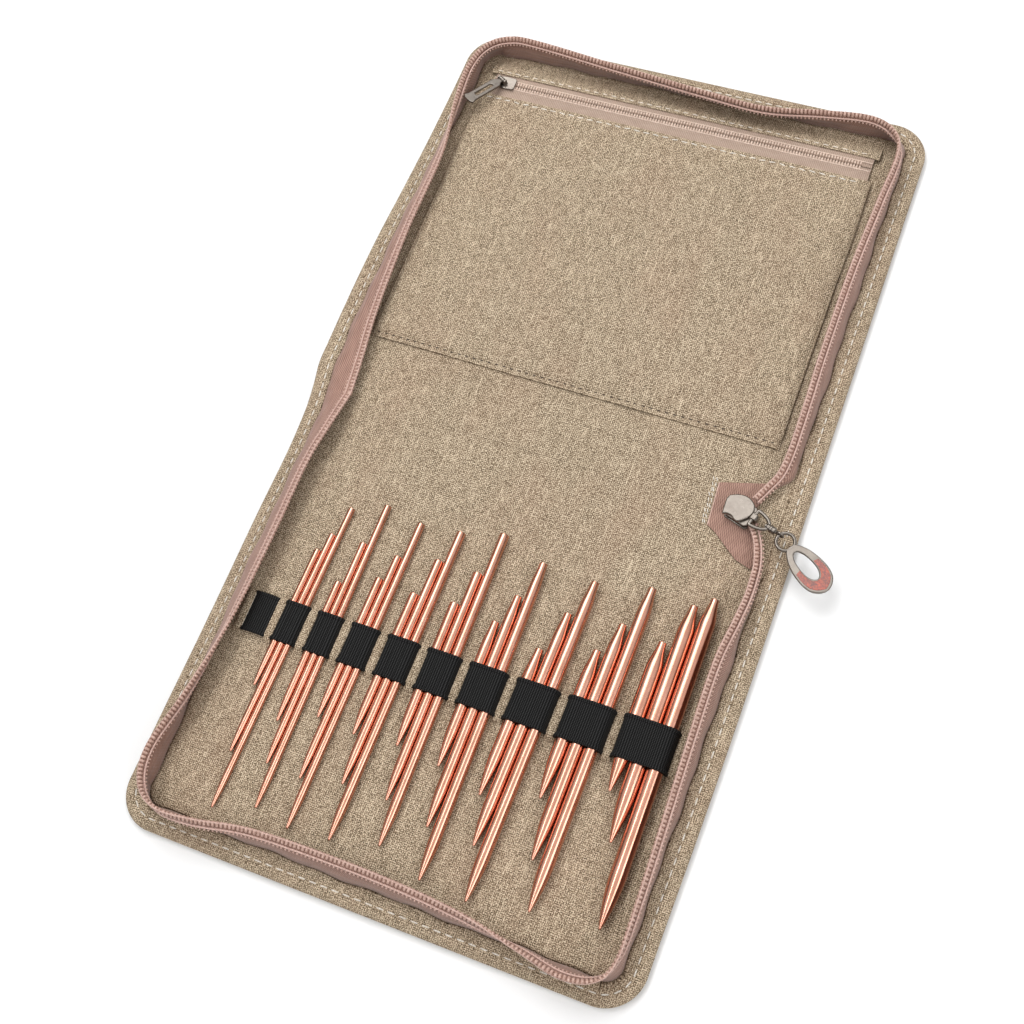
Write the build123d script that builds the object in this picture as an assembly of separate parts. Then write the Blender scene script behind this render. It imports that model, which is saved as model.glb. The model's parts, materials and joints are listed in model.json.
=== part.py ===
from build123d import *
import math
import os

# Interchangeable knitting-needle set: a zip-round book case lying open, with three
# lengths of screw-on tip in nine sizes held under one woven elastic band.
# Frame: +X to the right, +Y from the needle half to the pocket half, +Z up.
# Origin: middle of the spine, on the underside the case rests on. Millimetres.

# ---- case outline ---------------------------------------------------------
HALF_WIDTH = 106.0
HALF_LENGTH = 193.0
CORNER_R = 16.0
CREASE_Y = 15.0            # the spine lies between -CREASE_Y and +CREASE_Y
CREASE_GAP = 0.1           # each side of a crease stands back by this much

# ---- layers of the cover, bottom to top ------------------------------------
SKIN = 0.7
BOARD_T = 1.2
FOAM_T = 1.2
LINING_T = 0.7
BOARD_Z = SKIN
FOAM_Z = BOARD_Z + BOARD_T
LINING_Z = FOAM_Z + FOAM_T
TOP_Z = LINING_Z + LINING_T    # inner face, where the fold axes also lie
EDGE_FILLET = 1.6
FILLING_INSET = 1.2

# ---- main zip, standing up between border and lining -------------------------
TAPE_INSET = 10.0          # tape centre line to the outer edge of the case
TAPE_CORNER_R = 9.0
TAPE_T = 0.8
TAPE_H = 12.0              # woven part above the inner face
COIL_W = 2.2
COIL_H = 2.6
SEAM_GAP = 0.1

# ---- elastic band and lining strips ------------------------------------------
BAND_Y = -99.6             # middle of the band
BAND_W = 17.0
BAND_T = 0.8
BAND_START_X = -89.2
EMPTY_LOOP_W = 9.9
EMPTY_LOOP_H = 1.6
STRIP_GAP = 3.6            # clear width between neighbouring loops
STRIP_T = 0.5
STRIP_FOOT = 1.0
LIFT = 0.05                # air between resting parts
BAND_Z = TOP_Z + LIFT

# ---- needle tips --------------------------------------------------------------
SIZES = [2.75, 3.0, 3.25, 3.75, 4.0, 4.5, 5.0, 5.5, 6.5]      # diameters
YAW = [-1.2, -0.1, -0.7, -0.7, 0.2, 0.1, -1.2, -0.7, 0.1]     # degrees, per size
LENGTHS = {"short": 60.0, "medium": 95.0, "long": 130.0}
TIP_Y = {                                                     # point of each tip
    "short": [-127.5, -137.5, -131.0, -132.5, -131.0, -133.0, -138.0, -131.5, -120.5],
    "medium": [-154.5, -154.0, -155.0, -151.5, -151.5, -155.5, -156.0, -153.5, -138.0],
    "long": [-176.5, -171.0, -174.0, -172.5, -168.0, -174.5, -175.5, -171.0, -168.0],
}
NEEDLE_GAP = 0.15          # between neighbouring tips and beside them in the loop
POINT_BASE = 8.0           # point length is POINT_BASE + POINT_RATE * diameter
POINT_RATE = 1.8
POINT_R = 0.5
NECK_R = 1.6               # rear end of the larger sizes narrows to this radius
NECK_LENGTH = 10.0
NECK_FLAT = 1.0
SMALL_THREAD_R = 0.7
LARGE_THREAD_R = 1.0
LARGE_FROM = 4.0           # sizes from this diameter up take the larger thread
THREAD_DEPTH = 8.0

# ---- zipped pocket in the other half --------------------------------------------
POCKET_LEFT = -91.0
POCKET_RIGHT = 88.0
POCKET_BOTTOM = 30.5
POCKET_PANEL_TOP = 160.4
POCKET_COIL_Y = 167.1
POCKET_COIL_X0 = -87.0
POCKET_COIL_X1 = 82.0
POCKET_ROW_W = 1.7         # one row of teeth; two rows with a gap for the slider post
POCKET_ROW_GAP = 1.0
POCKET_TAPE_W = 4.6
POCKET_TAPE_Z = 4.75
POCKET_TAPE_T = 0.4
POCKET_COIL_Z = 4.55
POCKET_COIL_T = 1.2
PANEL_Z = 5.2
PANEL_T = 0.7
FACING_Y0 = 171.6
FACING_Y1 = 181.0
POCKET_SLIDER_X = -81.5
POCKET_SLIDER_L = 8.5
POCKET_SLIDER_W = 6.4
PLATE_T = 0.6

# ---- pull tab of the pocket slider ------------------------------------------------
TAB_PIVOT = (-83.6, 167.1, 8.2)
TAB_END = (-93.2, 149.4, 12.4)
TAB_W = 4.8
TAB_T = 0.9
TAB_PIN_R = 0.45
TAB_BARREL_R = 1.0
RUNNING = 0.08             # radial clearance of a pin that turns

# ---- main slider, resting on the folded tape ends at the right of the spine ----------
SLIDER_X = 82.6
SLIDER_Y = -0.5
HEADING = -18.0            # degrees from +X, the way the pull chain leaves the slider
CHAIN_Z = 10.2
END_TAB_T = 0.5
BODY_L = 12.0              # slider's plates
BODY_W = 9.4
BODY_H = 4.0
BODY_PLATE_T = 0.9
CAP_R = 5.6
CAP_T = 1.6
CAP_LOBE_R = 2.0
CAP_NOTCH_R = 3.4
CAP_TURN = -99.0           # the crown's notch, from the heading
CAP_FRONT = 4.8            # the cap is cut straight this far ahead, clear of the ear
END_TAB = [(70.6, 8.8), (87.5, 14.6), (93.6, 14.6), (93.6, -14.7), (80.2, -14.7), (71.7, -9.9)]
WIRE_R = 0.6
DROP_YAW = -37.0           # the teardrop hangs round to this heading
RING_R = 3.6               # middle of the round ring's wire
RING_WIRE = 1.2
EYE_R = 1.5
EYE_WIRE_R = 0.45
PIN_AHEAD = 6.2            # stirrup's pin ahead of the slider's centre
BOW_REACH = 7.0            # stirrup's bow ahead of its pin
EYE_AHEAD = 18.4           # swivel's eye ahead of the slider's centre
STEM_R = 0.42
DROP_LENGTH = 17.6
DROP_W = 13.0
DROP_T = 1.8


# ---- helpers ----------------------------------------------------------------------
def box(x0, x1, y0, y1, z0, z1):
    """A block between two corners."""
    block = Box(x1 - x0, y1 - y0, z1 - z0)
    return Pos((x0 + x1) / 2, (y0 + y1) / 2, (z0 + z1) / 2) * block


def cover_outline(inset, corner_r, near_crease):
    """Outline of the needle half: two rounded outer corners, square at the crease."""
    x = HALF_WIDTH - inset
    y = -(HALF_LENGTH - inset)
    outline = make_face(Polyline((-x, near_crease), (-x, y), (x, y), (x, near_crease), close=True))
    corners = outline.vertices().sort_by(Axis.Y)[:2]
    return fillet(corners, corner_r)


def prism(outline, z0, z1):
    """An outline raised from z0 to z1."""
    return extrude(Pos(0, 0, z0) * outline, z1 - z0)


def crease_wedge(sign, clearance):
    """Everything nearer the crease than its height above the fold axis (a mitre)."""
    top = TAPE_H + COIL_H + 2.0
    y0 = sign * (CREASE_Y - 5.0)
    y1 = sign * (CREASE_Y + clearance)
    points = [(y0, TOP_Z - 2.0), (y1, TOP_Z - 2.0), (y1, TOP_Z),
              (y1 + sign * top, TOP_Z + top), (y0, TOP_Z + top)]
    face = make_face(Polyline(*points, close=True))
    return Pos(-HALF_WIDTH - 5, 0, 0) * extrude(Plane.YZ * face, 2 * HALF_WIDTH + 10)


def along(heading, x=0.0, y=0.0, z=0.0):
    """Placement at a point with local +X turned to a heading in the plan."""
    return Pos(x, y, z) * Rot(0, 0, heading)


# ---- covers -----------------------------------------------------------------------
def lower_cover():
    """Shell, board, foam, lining, standing tape and coil of the needle half."""
    edge = -(CREASE_Y + CREASE_GAP)
    wall = edge - SKIN
    outer = prism(cover_outline(0, CORNER_R, edge), 0, TOP_Z)
    rims = outer.edges().filter_by(Plane.XY)
    rims = [e for e in rims if abs(e.center().Y - edge) > 1.0]
    outer = fillet(rims, EDGE_FILLET)
    cavity = prism(cover_outline(SKIN, CORNER_R - SKIN, wall), SKIN, LINING_Z)
    seam = TAPE_INSET - TAPE_T / 2 - SEAM_GAP
    window = prism(cover_outline(seam, TAPE_CORNER_R, edge + 1), LINING_Z, TOP_Z + 1)
    filling = cover_outline(FILLING_INSET, CORNER_R - FILLING_INSET, wall - 0.1)
    inside = TAPE_INSET + TAPE_T / 2 + SEAM_GAP
    lining = cover_outline(inside, TAPE_CORNER_R - TAPE_T, edge)
    tape_out = cover_outline(TAPE_INSET - TAPE_T / 2, TAPE_CORNER_R, edge)
    tape_in = cover_outline(TAPE_INSET + TAPE_T / 2, TAPE_CORNER_R - TAPE_T, edge + 1)
    coil_out = cover_outline(TAPE_INSET - COIL_W / 2, TAPE_CORNER_R, edge)
    coil_in = cover_outline(TAPE_INSET + COIL_W / 2, TAPE_CORNER_R - COIL_W, edge + 1)
    mitre = crease_wedge(-1, 0.2)
    tape_top = TOP_Z + TAPE_H
    return {
        "shell": outer - cavity - window,
        "board": prism(filling, BOARD_Z, FOAM_Z),
        "padding": prism(filling, FOAM_Z, LINING_Z),
        "lining": prism(lining, LINING_Z, TOP_Z),
        "zip_tape": prism(tape_out - tape_in, LINING_Z, tape_top) - mitre,
        "zip_coil": prism(coil_out - coil_in, tape_top, tape_top + COIL_H) - mitre,
    }


def spine():
    """Shell, board, foam, lining and, at the left end, the tape that turns the fold."""
    y = CREASE_Y - CREASE_GAP
    outer = box(-HALF_WIDTH, HALF_WIDTH, -y, y, 0, TOP_Z)
    ends = [e for e in outer.edges().filter_by(Axis.Y)]
    outer = fillet(ends, EDGE_FILLET)
    hollow = HALF_WIDTH - SKIN
    cavity = box(-hollow, hollow, -y + SKIN, y - SKIN, SKIN, LINING_Z)
    seam = HALF_WIDTH - TAPE_INSET + TAPE_T / 2 + SEAM_GAP
    window = box(-seam, seam, -y - 1, y + 1, LINING_Z, TOP_Z + 1)
    fill_x = HALF_WIDTH - FILLING_INSET
    fill_y = y - SKIN - 0.1
    lining_x = HALF_WIDTH - TAPE_INSET - TAPE_T / 2 - SEAM_GAP
    tape_x = -(HALF_WIDTH - TAPE_INSET)
    tape_top = TOP_Z + TAPE_H
    tape = box(tape_x - TAPE_T / 2, tape_x + TAPE_T / 2, -y, y, LINING_Z, tape_top)
    coil = box(tape_x - COIL_W / 2, tape_x + COIL_W / 2, -y, y, tape_top, tape_top + COIL_H)
    for sign in (-1, 1):
        mitre = spine_wedge(sign)
        tape = tape - mitre
        coil = coil - mitre
    return {
        "shell": outer - cavity - window,
        "board": box(-fill_x, fill_x, -fill_y, fill_y, BOARD_Z, FOAM_Z),
        "padding": box(-fill_x, fill_x, -fill_y, fill_y, FOAM_Z, LINING_Z),
        "lining": box(-lining_x, lining_x, -y, y, LINING_Z, TOP_Z),
        "zip_tape": tape,
        "zip_coil": coil,
    }


def spine_wedge(sign):
    """The mitre taken off the spine's own tape, so that a folded cover's tape fits."""
    top = TAPE_H + COIL_H + 2.0
    y1 = sign * (CREASE_Y - 0.2)
    far = sign * (CREASE_Y + 5.0)
    points = [(far, TOP_Z), (y1, TOP_Z), (y1 - sign * top, TOP_Z + top), (far, TOP_Z + top)]
    face = make_face(Polyline(*points, close=True))
    return Pos(-HALF_WIDTH - 5, 0, 0) * extrude(Plane.YZ * face, 2 * HALF_WIDTH + 10)


# ---- elastic band --------------------------------------------------------------------
def loop_layout():
    """(left, right, clear height) of each loop from left to right; the first is empty."""
    loops = [(BAND_START_X, BAND_START_X + EMPTY_LOOP_W, EMPTY_LOOP_H)]
    for size, yaw in zip(SIZES, YAW):
        slew = BAND_W * math.tan(math.radians(abs(yaw)))
        clear = 3 * size + 4 * NEEDLE_GAP + slew
        left = loops[-1][1] + STRIP_GAP
        loops.append((left, left + clear + 2 * BAND_T, size + 2 * NEEDLE_GAP))
    return loops


def elastic_band():
    """One ribbon that arches over each group of tips and dips under each lining strip."""
    loops = loop_layout()
    tuck = STRIP_GAP - 0.4
    low, high = BAND_Z, BAND_Z + BAND_T
    outside = [(loops[0][0] - tuck, low), (loops[0][0] - tuck, high)]
    inside = []
    for left, right, clear in loops:
        top = BAND_Z + clear + BAND_T
        outside += [(left, high), (left, top), (right, top), (right, high)]
        inside += [(left + BAND_T, low), (left + BAND_T, top - BAND_T)]
        inside += [(right - BAND_T, top - BAND_T), (right - BAND_T, low)]
    outside += [(loops[-1][1] + tuck, high), (loops[-1][1] + tuck, low)]
    ribbon = make_face(Polyline(*outside, *reversed(inside), close=True))
    tops = [v for v in ribbon.vertices() if v.Y > high + 0.5]
    outer_tops = [v for v in tops if any(abs(v.X - x) < 0.01 for lp in loops for x in lp[:2])]
    ribbon = fillet(outer_tops, BAND_T)
    solid = extrude(Plane.XZ * ribbon, BAND_W / 2, both=True)
    return Pos(0, BAND_Y, 0) * solid


def lining_strips():
    """The narrow bridges of lining left between the slits that the band runs through."""
    loops = loop_layout()
    starts = [loops[0][0] - STRIP_GAP] + [right for _, right, _ in loops]
    under = BAND_Z + BAND_T + LIFT
    half = BAND_W / 2 + 0.2
    strips = []
    for start in starts:
        x0, x1 = start + 0.15, start + STRIP_GAP - 0.15
        reach = half + STRIP_FOOT
        top = box(x0, x1, BAND_Y - reach, BAND_Y + reach, under, under + STRIP_T)
        foot_a = box(x0, x1, BAND_Y + half, BAND_Y + reach, TOP_Z, under)
        foot_b = box(x0, x1, BAND_Y - reach, BAND_Y - half, TOP_Z, under)
        strips.append(top + foot_a + foot_b)
    return Compound(children=strips)


# ---- needle tips ------------------------------------------------------------------------
def needle_profile(size, length):
    """Half section of one tip, point at the origin, rear end at +Y."""
    r = size / 2
    point = POINT_BASE + POINT_RATE * size
    swell = (r * 0.66, point * 0.5)
    if size >= LARGE_FROM:
        rear = [(r, length - NECK_LENGTH), (NECK_R, length - NECK_FLAT), (NECK_R, length)]
        hole = LARGE_THREAD_R
    else:
        rear = [(r, length)]
        hole = SMALL_THREAD_R
    nose = ThreePointArc((0, 0), (POINT_R * 0.72, POINT_R * 0.3), (POINT_R, POINT_R))
    ogive = Spline((POINT_R, POINT_R), swell, (r, point), tangents=[(0.12, 1), (0, 1)])
    body = Polyline((r, point), *rear, (hole, length), (hole, length - THREAD_DEPTH),
                    (0, length - THREAD_DEPTH), (0, 0))
    return make_face([nose, ogive, body])


def needle(size, length):
    """A solid tip of revolution lying along +Y with its blind threaded hole at the rear."""
    return revolve(needle_profile(size, length), Axis.Y)


def needles():
    """Every tip in its place: short, medium and long side by side in each loop."""
    placed = {}
    for index, (size, yaw) in enumerate(zip(SIZES, YAW)):
        left, right, _ = loop_layout()[index + 1]
        middle = (left + right) / 2
        pitch = size + NEEDLE_GAP
        for place, (kind, length) in enumerate(LENGTHS.items()):
            offset = (place - 1) * pitch
            turn = Pos(middle, BAND_Y, 0) * Rot(0, 0, yaw)
            reach = (TIP_Y[kind][index] - BAND_Y) / math.cos(math.radians(yaw))
            stand = Pos(offset, reach, BAND_Z + size / 2)
            name = f"tip_{int(round(size * 100)):03d}_{kind}"
            placed[name] = turn * stand * needle(size, length)
    return placed


# ---- pocket -----------------------------------------------------------------------------
def pocket():
    """Front panel, top facing, zip tapes and teeth of the flat lining pocket."""
    panel = box(POCKET_LEFT, POCKET_RIGHT, POCKET_BOTTOM, POCKET_PANEL_TOP, PANEL_Z, PANEL_Z + PANEL_T)
    hem = 3.0
    sides = box(POCKET_LEFT, POCKET_RIGHT, POCKET_BOTTOM, POCKET_PANEL_TOP - 2, TOP_Z, PANEL_Z)
    sides = sides - box(POCKET_LEFT + hem, POCKET_RIGHT - hem, POCKET_BOTTOM + hem,
                        POCKET_PANEL_TOP, TOP_Z, PANEL_Z)
    row = POCKET_ROW_GAP / 2 + POCKET_ROW_W
    tape_x0, tape_x1 = POCKET_COIL_X0 - 1, POCKET_COIL_X1 + 4
    tapes, rows = [], []
    for side in (-1, 1):
        near, far = POCKET_COIL_Y + side * row, POCKET_COIL_Y + side * (row + POCKET_TAPE_W)
        y0, y1 = min(near, far), max(near, far)
        tapes.append(box(tape_x0, tape_x1, y0, y1, POCKET_TAPE_Z, POCKET_TAPE_Z + POCKET_TAPE_T))
        inner = POCKET_COIL_Y + side * POCKET_ROW_GAP / 2
        y0, y1 = min(inner, near), max(inner, near)
        rows.append(box(POCKET_COIL_X0, POCKET_COIL_X1, y0, y1,
                        POCKET_COIL_Z, POCKET_COIL_Z + POCKET_COIL_T))
    facing = box(POCKET_LEFT, POCKET_RIGHT, FACING_Y0, FACING_Y1, PANEL_Z, PANEL_Z + PANEL_T)
    foot = box(POCKET_LEFT, POCKET_RIGHT, FACING_Y1 - 7, FACING_Y1, TOP_Z, PANEL_Z)
    return {
        "pocket_panel": panel + sides,
        "pocket_facing": facing + foot,
        "pocket_zip_tapes": Compound(children=tapes),
        "pocket_zip_teeth": Compound(children=rows),
    }


def pocket_slider():
    """Two plates joined by a post, side flanges above the tapes and a bridge on top."""
    x0, x1 = POCKET_SLIDER_X - POCKET_SLIDER_L / 2, POCKET_SLIDER_X + POCKET_SLIDER_L / 2
    y = POCKET_COIL_Y
    half = POCKET_SLIDER_W / 2
    teeth_top = POCKET_COIL_Z + POCKET_COIL_T
    top_z = teeth_top + 0.15
    bottom = box(x0, x1, y - half, y + half, TOP_Z + 0.1, TOP_Z + 0.1 + 0.5)
    top = box(x0, x1, y - half, y + half, top_z, top_z + PLATE_T)
    top = fillet(top.edges().filter_by(Axis.Z), 1.2)
    post = box(x0 + 0.4, x0 + 1.4, y - 0.4, y + 0.4, TOP_Z + 0.3, top_z + 0.3)
    flange_in = POCKET_ROW_GAP / 2 + POCKET_ROW_W + 0.1
    flanges = [box(x0 + 1.2, x1 - 1.2, min(y + s * flange_in, y + s * half),
                   max(y + s * flange_in, y + s * half), 5.3, top_z + 0.1) for s in (-1, 1)]
    deck = top_z + PLATE_T
    lug_h = TAB_PIVOT[2] + 0.8 - deck
    lugs = [Pos(0, side * 1.85, 0) * Box(1.7, 0.7, lug_h) for side in (-1, 1)]
    pin = Rot(90, 0, 0) * Cylinder(TAB_PIN_R, 4.0)
    seat = Pos(TAB_PIVOT[0], TAB_PIVOT[1], deck + lug_h / 2) * Rot(0, 0, tab_yaw())
    bridge = seat * (lugs[0] + lugs[1])
    bridge = bridge + Pos(*TAB_PIVOT) * Rot(0, 0, tab_yaw()) * pin
    return bottom + top + post + flanges[0] + flanges[1] + bridge


def tab_yaw():
    """Plan heading of the pull tab, away from its pin."""
    return math.degrees(math.atan2(TAB_END[1] - TAB_PIVOT[1], TAB_END[0] - TAB_PIVOT[0]))


def pull_tab():
    """Flat pull tab with rounded ends and a plain slot, and a barrel round its pin."""
    (x0, y0, z0), (x1, y1, z1) = TAB_PIVOT, TAB_END
    run = math.hypot(x1 - x0, y1 - y0)
    length = math.hypot(run, z1 - z0)
    pitch = math.degrees(math.atan2(z1 - z0, run))
    plate = Pos(length / 2 + 1.2, 0) * SlotOverall(length - 1.2, TAB_W)
    slot = Pos(length * 0.62, 0) * SlotOverall(length * 0.5, 1.5)
    neck = Pos(1.6, 0) * Rectangle(3.2, 2.4)
    flat = extrude(plate + neck - slot, TAB_T / 2, both=True)
    barrel = Rot(90, 0, 0) * Cylinder(TAB_BARREL_R, 2.6)
    bore = Rot(90, 0, 0) * Cylinder(TAB_PIN_R + RUNNING, 6.0)
    return Pos(x0, y0, z0) * Rot(0, 0, tab_yaw()) * Rot(0, -pitch, 0) * (flat + barrel - bore)


# ---- main slider and its pull chain --------------------------------------------------------
def end_tab():
    """The two tape ends, folded flat and sewn down at the right of the spine."""
    face = make_face(Polyline(*END_TAB, close=True))
    return prism(face, TOP_Z, TOP_Z + END_TAB_T)


def slider_body():
    """Slider: lower plate, upper plate, wedge between them, and the ear for the pull."""
    low = TOP_Z + END_TAB_T + 0.1
    deck = low + BODY_H
    plate = RectangleRounded(BODY_L, BODY_W, 2.4)
    bottom = extrude(Pos(0, 0, low) * plate, BODY_PLATE_T)
    top = extrude(Pos(0, 0, deck - BODY_PLATE_T) * plate, BODY_PLATE_T)
    wedge = extrude(Pos(3.4, 0, low + 0.5) * RectangleRounded(3.6, 3.0, 1.0), BODY_H - 1.0)
    ear_low = deck - 0.5
    ear_top = CHAIN_Z + 2 * WIRE_R
    ear = extrude(Pos(6.4, 0, ear_low) * RectangleRounded(3.0, 2.6, 0.6), ear_top - ear_low)
    neck = extrude(Pos(5.4, 0, low) * Rectangle(2.0, 2.6), BODY_H)
    bore = Pos(PIN_AHEAD, 0, CHAIN_Z) * Rot(90, 0, 0) * Cylinder(WIRE_R + RUNNING, 6.0)
    body = bottom + top + wedge + neck + ear - bore
    return along(HEADING, SLIDER_X, SLIDER_Y) * body


def slider_cap():
    """Crowned cover plate over the slider: a disc with two lobes beside a round notch."""
    low = TOP_Z + END_TAB_T + 0.1 + BODY_H
    disc = Circle(CAP_R)
    lobes = [Pos(4.1, side * 4.2) * Circle(CAP_LOBE_R) for side in (-1, 1)]
    crown = disc + lobes[0] + lobes[1] - Pos(7.2, 0) * Circle(CAP_NOTCH_R)
    plan = Rot(0, 0, CAP_TURN) * crown
    plan = plan - Pos(CAP_FRONT + 5, 0) * Rectangle(10.0, 20.0)
    cap = extrude(Pos(0, 0, low) * plan, CAP_T)
    return along(HEADING, SLIDER_X, SLIDER_Y) * cap


def d_ring():
    """Wire stirrup: straight pin through the ear, curved bow ahead of it."""
    pin_half = 3.4
    pin = Line((0, -pin_half), (0, pin_half))
    side_a = Line((0, pin_half), (1.6, pin_half))
    bow = ThreePointArc((1.6, pin_half), (BOW_REACH, 0), (1.6, -pin_half))
    side_b = Line((1.6, -pin_half), (0, -pin_half))
    path = Wire([pin, side_a, bow, side_b])
    start = Plane(origin=(0, 0, 0), z_dir=(0, 1, 0))
    wire = sweep(start * Circle(WIRE_R), path, transition=Transition.ROUND)
    boss = Pos(BOW_REACH, 0, 0) * Rot(0, 90, 0) * Cylinder(1.15, 1.5)
    bore = Pos(BOW_REACH, 0, 0) * Rot(0, 90, 0) * Cylinder(STEM_R + RUNNING, 4.0)
    return along(HEADING, *on_heading(PIN_AHEAD), CHAIN_Z) * (wire + boss - bore)


def on_heading(distance):
    """Plan position a distance ahead of the slider's centre, along the heading."""
    turn = math.radians(HEADING)
    return SLIDER_X + distance * math.cos(turn), SLIDER_Y + distance * math.sin(turn)


def swivel():
    """Stem through the stirrup's boss, barrel ahead of it, and an eye for the teardrop."""
    bow = PIN_AHEAD + BOW_REACH - EYE_AHEAD
    head = Pos(bow - 1.2, 0, 0) * Rot(0, 90, 0) * Cylinder(0.8, 0.7)
    stem = Pos(bow + 0.2, 0, 0) * Rot(0, 90, 0) * Cylinder(STEM_R, 2.4)
    barrel = Pos(bow + 1.95, 0, 0) * Rot(0, 90, 0) * Cylinder(1.25, 2.1)
    collar = Pos(-EYE_R - 0.4, 0, 0) * Rot(0, 90, 0) * Cylinder(0.75, 1.0)
    eye = Rot(90, 0, 0) * Torus(EYE_R, EYE_WIRE_R)
    return along(HEADING, *on_heading(EYE_AHEAD), CHAIN_Z) * (head + stem + barrel + collar + eye)


def drop_place():
    """Placement of the teardrop: its ring's wire runs through the swivel's eye."""
    x, y = on_heading(EYE_AHEAD)
    turn = math.radians(DROP_YAW)
    return along(DROP_YAW, x + RING_R * math.cos(turn), y + RING_R * math.sin(turn), CHAIN_Z)


def teardrop():
    """Round ring and teardrop frame in one piece, with a recess for the enamel."""
    ring = Circle(RING_R + RING_WIRE / 2) - Circle(RING_R - RING_WIRE / 2)
    neck = Pos(RING_R + 1.0, 0) * Rectangle(1.4, 2.6)
    ring = extrude(ring, RING_WIRE / 2, both=True)
    drop = extrude(drop_outline(0) + neck - drop_hole(), DROP_T / 2, both=True)
    drop = drop - extrude(Circle(RING_R + 0.2), DROP_T, both=True)
    recess = extrude(Pos(0, 0, DROP_T / 2 - 0.5) * enamel_outline(0), 1.0)
    return drop_place() * (ring + drop - recess)


def enamel():
    """Enamel fill of the teardrop's outer half, level with its face."""
    fill = extrude(Pos(0, 0, DROP_T / 2 - 0.5) * enamel_outline(0.02), 0.5)
    return drop_place() * fill


def drop_outline(inset):
    """Teardrop outline from the ring outwards."""
    start = RING_R + 0.2 + inset
    end = RING_R + DROP_LENGTH + 1.6 - inset
    half = DROP_W / 2 - inset
    belly = start + DROP_LENGTH * 0.64
    upper = Spline((start, 0), (belly, half), (end, 0), tangents=[(0.5, 1), (0, -1)])
    lower = Spline((end, 0), (belly, -half), (start, 0), tangents=[(0, -1), (-0.5, 1)])
    return make_face([upper, lower])


def drop_hole():
    """Smaller teardrop opening inside the frame."""
    start = RING_R + 2.6
    end = RING_R + DROP_LENGTH - 3.0
    half = DROP_W / 2 - 3.9
    belly = start + (end - start) * 0.6
    upper = Spline((start, 0), (belly, half), (end, 0), tangents=[(0.5, 1), (0, -1)])
    lower = Spline((end, 0), (belly, -half), (start, 0), tangents=[(0, -1), (-0.5, 1)])
    return make_face([upper, lower])


def enamel_outline(clearance):
    """Crescent between the frame's rim and the opening, outer half only."""
    middle = RING_R + DROP_LENGTH * 0.52
    band = drop_outline(0.9 + clearance)
    keep = Pos(middle + 15, 0) * Rectangle(30, 30)
    around = Pos(RING_R + DROP_LENGTH * 0.47, 0) * Ellipse(6.4 + clearance, 3.6 + clearance)
    return band & keep - around


# ---- write every node ---------------------------------------------------------------------
def model():
    """Every node by name."""
    nodes = {}
    half = lower_cover()
    for name, solid in half.items():
        nodes[f"lower_{name}"] = solid
        nodes[f"upper_{name}"] = mirror(solid, about=Plane.XZ)
    for name, solid in spine().items():
        nodes[f"spine_{name}"] = solid
    nodes["elastic_band"] = elastic_band()
    nodes["lining_strips"] = lining_strips()
    nodes.update(pocket())
    nodes["pocket_slider"] = pocket_slider()
    nodes["pocket_pull_tab"] = pull_tab()
    nodes["zip_end_tab"] = end_tab()
    nodes["main_slider_body"] = slider_body()
    nodes["main_slider_cap"] = slider_cap()
    nodes["pull_d_ring"] = d_ring()
    nodes["pull_swivel"] = swivel()
    nodes["pull_teardrop"] = teardrop()
    nodes["pull_enamel"] = enamel()
    nodes.update(needles())
    return nodes


os.makedirs("parts", exist_ok=True)
for node, shape in model().items():
    export_step(shape, f"parts/{node}.step")
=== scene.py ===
import json
import math
import random

import bpy
import numpy as np
from mathutils import Matrix, Vector


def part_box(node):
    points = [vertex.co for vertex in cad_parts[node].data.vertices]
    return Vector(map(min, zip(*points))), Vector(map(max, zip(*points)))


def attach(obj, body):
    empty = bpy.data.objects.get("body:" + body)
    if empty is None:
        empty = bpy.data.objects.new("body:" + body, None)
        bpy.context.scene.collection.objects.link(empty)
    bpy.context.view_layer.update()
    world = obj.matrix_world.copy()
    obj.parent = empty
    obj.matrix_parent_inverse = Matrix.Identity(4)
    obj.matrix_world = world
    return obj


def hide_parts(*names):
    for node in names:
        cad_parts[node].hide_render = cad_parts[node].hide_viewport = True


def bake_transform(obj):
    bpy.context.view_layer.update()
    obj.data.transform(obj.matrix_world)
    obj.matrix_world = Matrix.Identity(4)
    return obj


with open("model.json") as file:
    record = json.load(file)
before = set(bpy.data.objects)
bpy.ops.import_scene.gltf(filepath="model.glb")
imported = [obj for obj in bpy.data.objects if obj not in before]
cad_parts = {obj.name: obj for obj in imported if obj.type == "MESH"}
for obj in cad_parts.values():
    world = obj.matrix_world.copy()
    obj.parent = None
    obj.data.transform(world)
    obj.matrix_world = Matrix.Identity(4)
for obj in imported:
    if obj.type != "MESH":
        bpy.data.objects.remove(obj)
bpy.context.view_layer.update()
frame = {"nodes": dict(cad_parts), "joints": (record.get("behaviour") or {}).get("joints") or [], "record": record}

# ---- measures, in millimetres, taken from the frame where the frame has them ---------
MM = 0.001
JOINTS = {joint["name"]: joint for joint in frame["joints"]}
MOUNTS = {mount["name"]: mount for mount in frame["record"]["mounts"]}


def low_high(node):
    """A CAD node's corners in millimetres."""
    low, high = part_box(node)
    return np.array(low) / MM, np.array(high) / MM


shell_low, shell_high = low_high("lower_shell")
HALF_W, HALF_L, TOP = shell_high[0], -shell_low[1], shell_high[2]
CREASE = JOINTS["fold_upper"]["pos_m"][1] / MM
CORNER_R = 16.0
STITCH_INSET = 4.5
BOARD_INSET = 5.0                    # stiffeners end inside the rim
FOAM_INSET = 11.2
SLIDER_PIN_AHEAD = 6.2


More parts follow.
